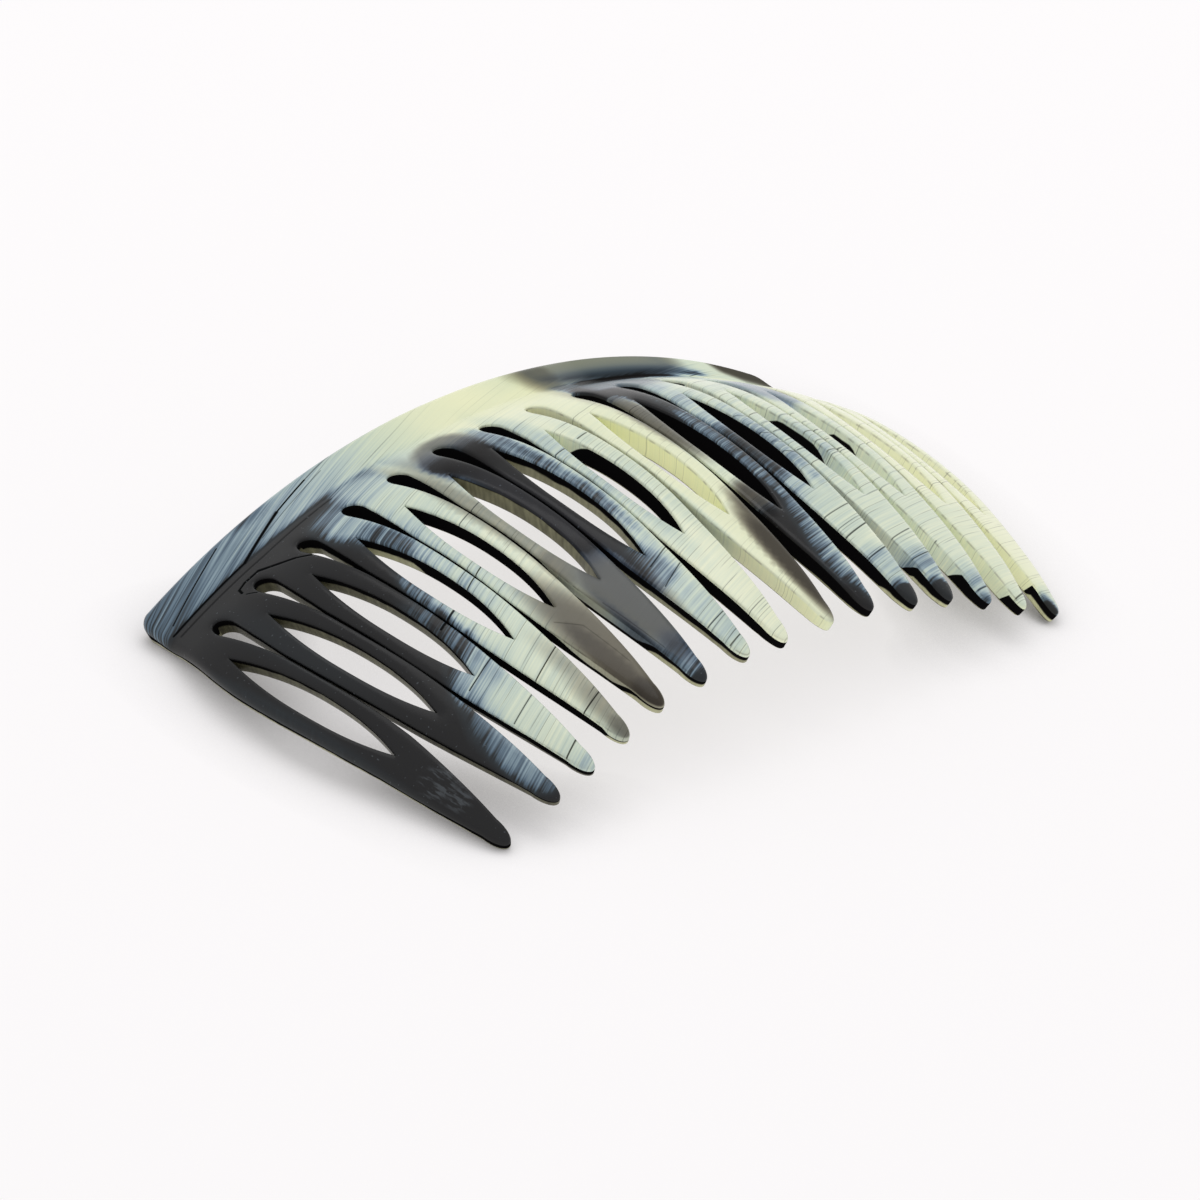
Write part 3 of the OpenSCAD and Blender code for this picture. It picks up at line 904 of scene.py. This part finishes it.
def layer_chart(v, sides, tone):
    """For each point of the mesh: where the black layer starts and ends, tone of the lower layer."""
    layers = np.tile(NO_BLACK, (len(v), 1))
    for tooth, cut, start, full, *layer in WALL_LAYERS:
        on_wall = sides == int(tooth + EYE_WALLS * cut)
        share = (on_wall * smooth(start, full, v))[:, None]
        layers = layers * (1 - share) + np.array(layer) * share
    hollow = sides == HOLLOW_FACE
    low = HOLLOW_TONE[0] + (HOLLOW_TONE[1] - HOLLOW_TONE[0]) * tone
    layers[hollow, :2] = HOLLOW_LAYERS
    layers[hollow, 2] = low[hollow]
    return layers


def new_object(name, place, faces):
    mesh = bpy.data.meshes.new(name)
    mesh.from_pydata(place.tolist(), [], faces)
    mesh.shade_smooth()
    mesh.validate()
    piece = bpy.data.objects.new(name, mesh)
    bpy.context.scene.collection.objects.link(piece)
    return piece


SETTLING_ROUNDS = 3


def settled(place):
    """The comb set down on its back's corners and its outer tips, in the middle of the CAD box."""
    for _ in range(SETTLING_ROUNDS):
        back, tips = place[place[:, 1] > 0], place[place[:, 1] < 0]
        back_low, tip_low = back[back[:, 2].argmin()], tips[tips[:, 2].argmin()]
        turn = -atan((back_low[2] - tip_low[2]) / (back_low[1] - tip_low[1]))
        y, z = place[:, 1], place[:, 2]
        turned = (place[:, 0], y * cos(turn) - z * sin(turn), y * sin(turn) + z * cos(turn))
        place = np.stack(turned, -1)
        middle_y = (place[:, 1].min() + place[:, 1].max()) / 2
        cad_middle = (cad_box[0][1] + cad_box[1][1]) / 2 / MM
        place = place + (0, cad_middle - middle_y, -place[:, 2].min())
    return place


def make_comb():
    place, faces, horn, sides = comb_mesh()
    piece = new_object("horn_comb", settled(place) * MM, faces)
    tones = tone_chart(horn)
    layers = layer_chart(horn[:, 1], sides, tones[:, 0])
    for name, rows in (("horn", horn), ("tones", tones), ("layers", layers)):
        attribute = piece.data.attributes.new(name, "FLOAT_VECTOR", "POINT")
        attribute.data.foreach_set("vector", rows.astype(np.float32).ravel())
    calm = piece.data.attributes.new("calm", "FLOAT", "POINT")
    calm.data.foreach_set("value", calm_chart(horn).astype(np.float32))
    return piece


# The horn's material, written as arithmetic on sockets

class Value:
    """A number that varies over the surface, with arithmetic that adds Math nodes."""

    def __init__(self, socket):
        self.socket = socket

    def __add__(self, other):
        return math_node("ADD", self, other)

    def __sub__(self, other):
        return math_node("SUBTRACT", self, other)

    def __rsub__(self, other):
        return math_node("SUBTRACT", other, self)

    def __mul__(self, other):
        return math_node("MULTIPLY", self, other)

    def __truediv__(self, other):
        return math_node("DIVIDE", self, other)

    __radd__ = __add__
    __rmul__ = __mul__


def plug(source, socket):
    """Sets an input to a number or a colour, or links it to a value."""
    if isinstance(source, Value):
        socket.id_data.links.new(source.socket, socket)
    else:
        socket.default_value = source


def operation_node(kind, operation, sources, output=0):
    tree = next(x for x in sources if isinstance(x, Value)).socket.id_data
    node = tree.nodes.new(kind)
    node.operation = operation
    for source, socket in zip(sources, node.inputs):
        plug(source, socket)
    return Value(node.outputs[output])


def math_node(operation, *sources):
    return operation_node("ShaderNodeMath", operation, sources)


def vector_node(operation, *sources):
    single = operation in ("DOT_PRODUCT", "LENGTH", "DISTANCE")
    return operation_node("ShaderNodeVectorMath", operation, sources, "Value" if single else "Vector")


def highest(*values):
    return reduce(lambda a, b: math_node("MAXIMUM", a, b), values)


def ramp_up(low, high, x, start=0.0, stop=1.0):
    """The value start below low, stop above high, smooth between them."""
    node = x.socket.id_data.nodes.new("ShaderNodeMapRange")
    node.interpolation_type = "SMOOTHSTEP"
    named = {"Value": x, "From Min": low, "From Max": high, "To Min": start, "To Max": stop}
    for name, source in named.items():
        plug(source, node.inputs[name])
    return Value(node.outputs["Result"])


def held_in(x):
    """The value kept between 0 and 1."""
    node = x.socket.id_data.nodes.new("ShaderNodeClamp")
    plug(x, node.inputs["Value"])
    return Value(node.outputs["Result"])


def joined(x, y, z):
    """Three values as a vector or as a colour."""
    node = x.socket.id_data.nodes.new("ShaderNodeCombineXYZ")
    for source, socket in zip((x, y, z), node.inputs):
        plug(source, socket)
    return Value(node.outputs[0])


def noise(x, y, z, detail=0.0):
    """Soft noise between 0 and 1, one cell for each unit."""
    node = x.socket.id_data.nodes.new("ShaderNodeTexNoise")
    node.inputs["Scale"].default_value = 1.0
    node.inputs["Detail"].default_value = detail
    plug(joined(x, y, z), node.inputs["Vector"])
    return Value(node.outputs["Fac"])


def parted(x):
    """The three parts of a vector or a colour."""
    parts = x.socket.id_data.nodes.new("ShaderNodeSeparateXYZ")
    plug(x, parts.inputs[0])
    return [Value(socket) for socket in parts.outputs]


def surface(tree, name, output="Vector"):
    """What the mesh keeps at each point under a name."""
    source = tree.nodes.new("ShaderNodeAttribute")
    source.attribute_name = name
    return Value(source.outputs[output])


def linear(colour):
    """An sRGB colour from 0 to 255 as linear values."""
    x = np.array(colour) / 255
    return tuple(np.where(x <= 0.04045, x / 12.92, ((x + 0.055) / 1.055) ** 2.4))


def ramp_colour(x, stops):
    node = x.socket.id_data.nodes.new("ShaderNodeValToRGB")
    plug(x, node.inputs["Fac"])
    elements = node.color_ramp.elements
    while len(elements) < len(stops):
        elements.new(0.5)
    for element, (place, *colour) in zip(elements, stops):
        element.position = place
        element.color = (*linear(colour), 1)
    return Value(node.outputs["Color"])


def mix_colour(a, b, share):
    tree = share.socket.id_data
    node = tree.nodes.new("ShaderNodeMix")
    node.data_type = "RGBA"
    plug(share, node.inputs["Factor"])
    colours = [socket for socket in node.inputs if socket.type == "RGBA"]
    for source, socket in zip((a, b), colours):
        plug(source if isinstance(source, Value) else (*linear(source), 1), socket)
    return Value(next(socket for socket in node.outputs if socket.type == "RGBA"))


# Columns: tone, red, green, blue
FACE_COLOURS = [
    (0.0, 42, 42, 43), (0.12, 52, 57, 61), (0.3, 92, 110, 126), (0.46, 138, 157, 168),
    (0.6, 176, 192, 190), (0.74, 196, 209, 196), (0.87, 213, 222, 202), (1.0, 232, 235, 208),
]
LOWER_COLOURS = [
    (0.0, 52, 48, 40), (0.3, 106, 104, 82), (0.6, 156, 154, 124), (1.0, 206, 206, 166),
]
BLACK_HORN = (14, 13, 14)
DARK_FIBRE = (52, 60, 58)
CRACK = (12, 13, 14)
# Lighter grey of the dust specks, and of the worn spots near the first tooth's tip, which are partly a
# painted sheen
DUST_WEAR_AND_SHEEN = (104, 110, 116)
# Columns: u, v, reach in millimetres
WORN_AND_SHEEN_SPOTS = [(-6.96, 0.77, 2.8), (-6.99, 0.83, 2.0)]
# How strongly brown and yellow take up red, green and blue light
BROWN_LOSS = (1.60, 1.72, 1.74)
YELLOW_LOSS = (-0.02, 0.0, 0.22)

# Sizes below are in millimetres; each noise has a seed, and sets in between two of its values

# Slope of the fibres across the teeth, how it grows to the right, and how far they wander
FIBRE_SLOPE = 0.37
FIBRE_BEND = 0.001
WANDER_SIZE, WANDER = 12, 0.8
# Columns: length and thickness of the fibres, seed, strength
HATCHING = [(26, 1.8, 3.1, 0.30), (16, 0.48, 7.7, 0.36), (9, 0.19, 1.3, 0.50)]
# Tones between which the hatching sets in, its strength in the black and what it loses up to cream
HATCHED_FROM = (0.04, 0.20)
HATCHING_STRENGTH = (1.45, 1.25)
# Single fibres
# Columns: distance, width, seed, darkness
FIBRES = [(0.42, 0.07, 3.7, 0.6), (2.3, 0.10, 21.3, 0.9)]
FIBRE_REACH, FIBRE_MIX = 9, 60
FIBRE_PRESENT = (0.42, 0.60)
# Share of a width that is fully dark, and where a crack ends
FIBRE_CORE, WORN_AND_SHEEN_CORE = 0.3, 0.4
CRACK_CORE, CRACK_RIM = 0.35, 0.9

# Depth shares between which a face turns into a wall, tones between which horn counts as pale
WALL_FROM = (0.08, 0.20)
PALE_FROM = (0.10, 0.35)
# On the walls: cracks and brown lost, yellow added, and painted light that brightens the pale walls where
# they lie in shade
WALL_LOSS = 0.6
WALL_YELLOW, WALL_YELLOW_LEAST, FACE_YELLOW = 1.6, 0.1, 0.8
WALL_PAINTED_LIGHT = 0.12
# Spots: sizes along x and y, seed, detail, the noise's two values, strength
SPECKS = (0.33, 0.33, 8.8, 0, 0.79, 0.83, 0.35)
WORN_AND_SHEEN_MARKS = (0.35, 1.6, 3.3, 4, 0.46, 0.62, 0.32)
EDGE_SPOTS = (0.9, 0.9, 2.5, 0, 0.45, 0.7, 0.22)
# Depth share of the brown spotted line just below the outer edges, and how far it reaches
EDGE_LINE_DEPTH, EDGE_LINE_REACH = 0.12, (0.02, 0.05)
# How far the layers' bounds wander, as depth shares, and half the widths of their rims
UNEVEN_SIZE, UNEVEN_SEED, UNEVEN, UNEVEN_BLACK = 3, 4.4, 0.25, 0.4
BLACK_RIM, LOWER_RIM = 0.03, 0.05
LOWER_GRAIN = (5, 0.5)
LOWER_SEED, LOWER_STRENGTH = 6.1, 0.3
WEAR_SIZE, WEAR_DETAIL = 1.5, 3.0
ROUGH_LEAST, ROUGH_WEAR, ROUGH_PALE = 0.12, 0.12, 0.06
GLOSS, PALE_GLOSS = 0.08, 0.10
# The back of the right half reflects no light: u from and to, height above the slot tops
SHADED_FROM, SHADED_ABOVE = (1.6, 2.6), (0.035, 0.05)
BUMP_STRENGTH, BUMP_HEIGHT = 0.25, 0.05
BUMP_STREAKS, BUMP_CRACKS, BUMP_WEAR = 0.5, 2.0, 0.3

# Single cracks and dark fibres that stand out
# Columns: u and v of one end, u and v of the other, width in millimetres, darkness
CRACKS = [
    (-5.23, -0.084, -4.13, -0.135, 0.32, 1.0), (-4.13, -0.135, -3.33, -0.161, 0.17, 1.0),
    (-3.33, -0.161, -2.67, -0.182, 0.11, 0.7), (-6.8, -0.104, -5.27, -0.169, 0.15, 0.9),
    (-4.67, -0.104, -3.0, -0.156, 0.08, 0.6), (-7.05, -0.15, -6.5, -0.18, 0.08, 0.6),
    # The line from u -6.95 to -5.23 along the groove is partly a scratch and partly painted shade in the
    # groove's crease
    (-6.95, -0.083, -5.23, -0.084, 0.24, 1.0), (-6.9, -0.06, -5.0, -0.052, 0.3, 0.6),
    (-5.0, -0.052, -3.4, -0.062, 0.26, 0.6), (-5.81, 0.002, -5.77, -0.016, 0.26, 1.0),
    (-5.77, -0.016, -5.6, -0.023, 0.3, 1.0), (-5.6, -0.023, -5.3, -0.02, 0.34, 1.0),
    (-5.3, -0.02, -5.19, -0.002, 0.38, 1.0), (-5.19, -0.002, -5.03, 0.022, 0.36, 1.0),
    (-5.03, 0.022, -4.85, 0.046, 0.32, 1.0), (-4.85, 0.046, -4.67, 0.078, 0.24, 1.0),
    (-5.8, 0.017, -5.7, 0.04, 0.14, 1.0), (-3.33, 0.67, -3.02, 0.72, 0.12, 0.35),
    (-3.02, 0.72, -2.95, 0.86, 0.12, 0.3), (-2.42, 0.7, -2.26, 0.88, 0.12, 0.35),
    (-5.3, 0.665, -4.6, 0.64, 0.13, 0.9), (-4.7, 0.5, -4.2, 0.48, 0.24, 0.95),
    (-3.8, 0.46, -3.25, 0.43, 0.13, 0.9), (-4.5, 0.76, -3.65, 0.72, 0.13, 0.9),
    (-4.4, 0.895, -3.8, 0.875, 0.14, 0.9), (-5.2, 0.945, -4.75, 0.925, 0.15, 0.9),
    (-5.3, 0.8, -4.65, 0.775, 0.12, 0.8), (-1.2, 0.68, -0.6, 0.645, 0.13, 0.8),
    (-1.3, 0.745, -0.7, 0.705, 0.12, 0.8), (-1.3, 0.89, -0.8, 0.87, 0.13, 0.8),
    (-1.2, 0.955, -0.85, 0.94, 0.13, 0.8), (-0.5, 0.25, -0.2, 0.24, 0.14, 0.8),
    (0.15, 0.225, 0.4, 0.215, 0.14, 0.8), (1.85, 0.81, 2.3, 0.785, 0.13, 0.7),
    (2.0, 0.735, 2.35, 0.715, 0.12, 0.6), (2.55, 0.785, 3.5, 0.73, 0.15, 0.85),
    (2.5, 0.71, 3.5, 0.66, 0.13, 0.7), (3.4, 0.81, 4.3, 0.76, 0.13, 0.7),
    (2.8, 0.85, 3.35, 0.82, 0.14, 0.8), (3.55, 0.875, 4.3, 0.84, 0.12, 0.8),
    (4.3, 0.83, 4.75, 0.8, 0.13, 0.6), (5.6, 0.99, 6.2, 0.945, 0.16, 0.8),
    (4.9, 0.96, 5.2, 0.945, 0.16, 0.8),
]
# Ripples across the prongs of three teeth on the right
# Columns: v, darkness
RIPPLES = [(0.275, 0.45), (0.318, 0.35), (0.360, 0.60), (0.402, 0.45), (0.446, 0.65)]
# Columns: u and rise of v of one end, u and rise of v of the other
RIPPLE_PARTS = [(3.18, 0.004, 3.46, 0.014), (3.55, 0.006, 3.85, -0.006), (4.20, 0.010, 4.62, -0.004)]
RIPPLE_WIDTH = 0.16
CRACKS += [(u1, v + rise1, u2, v + rise2, RIPPLE_WIDTH, dark)
           for v, dark in RIPPLES for u1, rise1, u2, rise2 in RIPPLE_PARTS]


def hatching(s, t, w, tone):
    """Fibres that lie across the teeth, as a change of tone: strong in the blue, faint in the cream."""
    fibres = sum((noise(s / long, t / thick, w + seed) - 0.5) * share
                 for long, thick, seed, share in HATCHING)
    in_blue, less_in_cream = HATCHING_STRENGTH
    return fibres * ramp_up(*HATCHED_FROM, tone) * (in_blue - tone * less_in_cream)


def fibre_lines(s, t, spacing, width, seed):
    """Thin straight fibres at random distances, each with its own darkness between 0 and 1."""
    node = t.socket.id_data.nodes.new("ShaderNodeTexVoronoi")
    node.voronoi_dimensions = "1D"
    node.inputs["Scale"].default_value = 1.0
    plug(t / spacing + seed, node.inputs["W"])
    chance, phase, _ = parted(Value(node.outputs["Color"]))
    away = Value(node.outputs["Distance"])
    line = ramp_up(width * FIBRE_CORE / spacing, width / spacing, away, 1.0, 0.0)
    present = ramp_up(*FIBRE_PRESENT, noise(s / FIBRE_REACH, phase * FIBRE_MIX, seed))
    return line * present * chance * chance


def crack_lines(x, y):
    """The charted cracks: their darkness on the line, 0 beside it."""
    here = joined(x, y, 0.0)
    dark = 0.0
    # Blender holds few values at a time. Each line joins the others at once, and no number is
    # plugged in where a vector is due, or the horn comes out black.
    for u1, v1, u2, v2, width, darkness in CRACKS:
        start, stop = flat(np.array([(u1, v1), (u2, v2)]))
        way = stop - start
        from_start = vector_node("SUBTRACT", here, (*start, 0))
        along = held_in(vector_node("DOT_PRODUCT", from_start, (*(way / (way @ way)), 0)))
        away = vector_node("MULTIPLY_ADD", joined(along, along, 0.0), (*-way, 0), from_start)
        away = vector_node("LENGTH", away)
        line = ramp_up(width * CRACK_CORE, width * CRACK_RIM, away, darkness, 0.0)
        dark = highest(dark, line)
    return dark


def worn_and_sheen(x, y):
    """Where the polish is worn through near the first tooth's tip, lighter grey that is partly a painted
    sheen.
    """
    shares = []
    for u, v, reach in WORN_AND_SHEEN_SPOTS:
        middle = flat(np.array((u, v)))
        away = vector_node("DISTANCE", joined(x, y, 0.0), (*middle, 0))
        shares.append(ramp_up(reach * WORN_AND_SHEEN_CORE, reach, away, 1.0, 0.0))
    return highest(*shares)


def patchy(x, y, size, *more):
    """Noise with patches of a size in millimetres."""
    return noise(x / size, y / size, *more)


def spots(x, y, long, high, seed, detail, low, full, strength):
    return ramp_up(low, full, noise(x / long, y / high, seed, detail)) * strength


def horn_material():
    material = bpy.data.materials.new("horn")
    material.use_nodes = True
    tree = material.node_tree
    shader = tree.nodes["Principled BSDF"]
    u, v, w = parted(surface(tree, "horn"))
    tone, brown, yellow = parted(surface(tree, "tones"))
    black_from, black_to, low = parted(surface(tree, "layers"))
    clear = 1.0 - surface(tree, "calm", "Fac")
    x = u * (PITCH * FLAT_R)
    y = v * -TOOTH_LEN
    wander = (patchy(x, y, WANDER_SIZE, w) - 0.5) * WANDER
    s = x + y * FIBRE_SLOPE
    t = y - x * FIBRE_SLOPE - x * x * FIBRE_BEND + wander
    on_wall = ramp_up(*WALL_FROM, w)
    pale = ramp_up(*PALE_FROM, tone)

    # The face's horn: fibres, cracks, specks, and scuffs that are partly a painted sheen
    streaks = hatching(s, t, w, tone) * clear
    lines = sum(fibre_lines(s, t, spacing, width, seed) * dark for spacing, width, seed, dark in FIBRES)
    lines = lines * pale * clear
    cracks = crack_lines(x, y) * (1.0 - on_wall * WALL_LOSS)
    face = ramp_colour(tone + streaks, FACE_COLOURS)
    face = mix_colour(mix_colour(face, DARK_FIBRE, lines), CRACK, cracks)
    specks = spots(x, y, *SPECKS) * (1.0 - pale)
    face = mix_colour(face, DUST_WEAR_AND_SHEEN, highest(specks, spots(x, y, *WORN_AND_SHEEN_MARKS) * worn_and_sheen(x, y)))

    # What takes up light: brown clouds, yellow horn and brown spots along a line at the pale edges
    edge = 1.0 - ramp_up(*EDGE_LINE_REACH, math_node("ABSOLUTE", w - EDGE_LINE_DEPTH))
    depth = brown * (1.0 - on_wall * WALL_LOSS) + edge * spots(x, y, *EDGE_SPOTS) * pale
    ripened = yellow * (on_wall * WALL_YELLOW + FACE_YELLOW) + on_wall * WALL_YELLOW_LEAST
    # Painted light: the pale walls are brightened, as they face away from the lamp
    painted_wall_light = on_wall * pale * WALL_PAINTED_LIGHT
    losses = [math_node("EXPONENT", depth * -by_brown + ripened * -by_yellow + painted_wall_light)
              for by_brown, by_yellow in zip(BROWN_LOSS, YELLOW_LOSS)]
    face = vector_node("MULTIPLY", face, joined(*losses))

    # The layers on the walls and on the hollow face
    uneven = (patchy(x, y, UNEVEN_SIZE, w * 2 + UNEVEN_SEED, 1.0) - 0.5) * UNEVEN
    blackness = w + uneven * UNEVEN_BLACK
    in_black = ramp_up(black_from - BLACK_RIM, black_from + BLACK_RIM, blackness)
    in_lower = ramp_up(black_to - LOWER_RIM, black_to + LOWER_RIM, w + uneven)
    grain = noise(s / LOWER_GRAIN[0], t / LOWER_GRAIN[1], w + LOWER_SEED) - 0.5
    lower = ramp_colour(low + grain * LOWER_STRENGTH, LOWER_COLOURS)
    colour = mix_colour(mix_colour(face, BLACK_HORN, in_black), lower, in_lower)
    plug(colour, shader.inputs["Base Color"])

    # The polish, which the cracks, the black walls and the shaded right side lack
    wear = patchy(x, y, WEAR_SIZE, w, WEAR_DETAIL)
    plug(ROUGH_LEAST + wear * ROUGH_WEAR + tone * ROUGH_PALE, shader.inputs["Roughness"])
    shaded = ramp_up(*SHADED_FROM, u) * ramp_up(*SHADED_ABOVE, v * -1.0)
    dull = highest(shaded, in_black * (1.0 - in_lower), cracks)
    plug((pale * PALE_GLOSS + GLOSS) * (1.0 - dull), shader.inputs["Specular IOR Level"])
    bump = tree.nodes.new("ShaderNodeBump")
    bump.inputs["Strength"].default_value = BUMP_STRENGTH
    bump.inputs["Distance"].default_value = BUMP_HEIGHT * MM
    relief = streaks * BUMP_STREAKS - lines - cracks * BUMP_CRACKS + wear * BUMP_WEAR
    plug(relief, bump.inputs["Height"])
    tree.links.new(bump.outputs["Normal"], shader.inputs["Normal"])
    return material


comb = make_comb()
comb.data.materials.append(horn_material())
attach(comb, "root")
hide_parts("comb")


# The camera stands where the photograph was taken from

CAM_AZIMUTH = radians(-45.21)
CAM_ELEVATION = radians(31.644)
CAM_ROLL = radians(5.86)
CAM_DISTANCE = 2159.17
CAM_FOCAL = 19963.5
FRAME_PX = 1200
CAM_PIVOT = Vector((0, 0, 9))
CAM_SHIFT = (-1.951, -5.257)
SENSOR_MM = 36
CAM_CLIP = (0.1, 20)


def towards(azimuth, elevation):
    """The way from the comb to an azimuth, counted from the tips' side, and an elevation."""
    level = cos(elevation)
    return Vector((sin(azimuth) * level, -cos(azimuth) * level, sin(elevation)))


def make_camera():
    back = towards(CAM_AZIMUTH, CAM_ELEVATION)
    level = Vector((cos(CAM_AZIMUTH), sin(CAM_AZIMUTH), 0))
    upright = back.cross(level)
    right = level * cos(CAM_ROLL) + upright * sin(CAM_ROLL)
    up = back.cross(right)
    camera = bpy.data.objects.new("camera", bpy.data.cameras.new("camera"))
    bpy.context.scene.collection.objects.link(camera)
    camera.data.sensor_width = SENSOR_MM
    camera.data.lens = CAM_FOCAL / FRAME_PX * SENSOR_MM
    camera.data.clip_start, camera.data.clip_end = CAM_CLIP
    place = CAM_PIVOT + right * CAM_SHIFT[0] + up * CAM_SHIFT[1] + back * CAM_DISTANCE
    axes = Matrix((right, up, back)).transposed().to_4x4()
    camera.matrix_world = Matrix.Translation(place * MM) @ axes
    bpy.context.scene.camera = camera


make_camera()


# The floor glows a little, as a lit table does, so that shadows stay pale
FLOOR_COLOUR = (0.985, 0.965, 0.972)
FLOOR_LIT = 0.33
FLOOR_GLOW = 0.665
# The glow fades under the comb within this distance in metres, a painted contact shadow
CONTACT_REACH = 0.009


FLOOR_HALF = 2.0
FLOOR_ROUGHNESS, FLOOR_GLOSS = 0.9, 0.1
CONTACT_SAMPLES = 6


def make_floor():
    half = FLOOR_HALF
    corners = np.array([(-half, -half, 0), (half, -half, 0), (half, half, 0), (-half, half, 0)])
    floor = new_object("floor", corners, [(0, 1, 2, 3)])
    material = bpy.data.materials.new("floor")
    material.use_nodes = True
    tree = material.node_tree
    shader = tree.nodes["Principled BSDF"]
    shader.inputs["Base Color"].default_value = (*[FLOOR_LIT * c for c in FLOOR_COLOUR], 1)
    shader.inputs["Emission Color"].default_value = (*FLOOR_COLOUR, 1)
    # Painted contact shadow: ambient occlusion dims the floor's glow near the comb
    painted_shadow = tree.nodes.new("ShaderNodeAmbientOcclusion")
    painted_shadow.samples = CONTACT_SAMPLES
    painted_shadow.inputs["Distance"].default_value = CONTACT_REACH
    open_share = Value(painted_shadow.outputs["AO"])
    plug(open_share * FLOOR_GLOW, shader.inputs["Emission Strength"])
    shader.inputs["Roughness"].default_value = FLOOR_ROUGHNESS
    shader.inputs["Specular IOR Level"].default_value = FLOOR_GLOSS
    floor.data.materials.append(material)


# Radiance of the room: a bright backdrop near the horizon under a darker ceiling
HORIZON_LIGHT = 0.9
CEILING_LIGHT = 0.72
HORIZON_TOP = (0.15, 0.45)
# The softbox: where it hangs, its distance and side in metres, its power in watts
BOX_AZIMUTH, BOX_ELEVATION = radians(140), radians(65)
BOX_DISTANCE, BOX_SIDE, BOX_POWER = 0.9, 0.6, 2.5


def make_world():
    world = bpy.data.worlds.new("studio")
    bpy.context.scene.world = world
    world.use_nodes = True
    tree = world.node_tree
    place = tree.nodes.new("ShaderNodeTexCoord")
    *_, height = parted(Value(place.outputs["Generated"]))
    light = ramp_up(*HORIZON_TOP, height, HORIZON_LIGHT, CEILING_LIGHT)
    plug(light, tree.nodes["Background"].inputs["Strength"])
    tree.nodes["Background"].inputs["Color"].default_value = (1, 1, 1, 1)


def make_softbox():
    lamp = bpy.data.lights.new("softbox", "AREA")
    lamp.size = BOX_SIDE
    lamp.energy = BOX_POWER
    light = bpy.data.objects.new("softbox", lamp)
    bpy.context.scene.collection.objects.link(light)
    place = towards(BOX_AZIMUTH, BOX_ELEVATION) * BOX_DISTANCE
    facing = place.to_track_quat("Z", "Y").to_matrix().to_4x4()
    light.matrix_world = Matrix.Translation(place) @ facing


make_floor()
make_world()
make_softbox()
bpy.context.scene.view_settings.view_transform = "Standard"
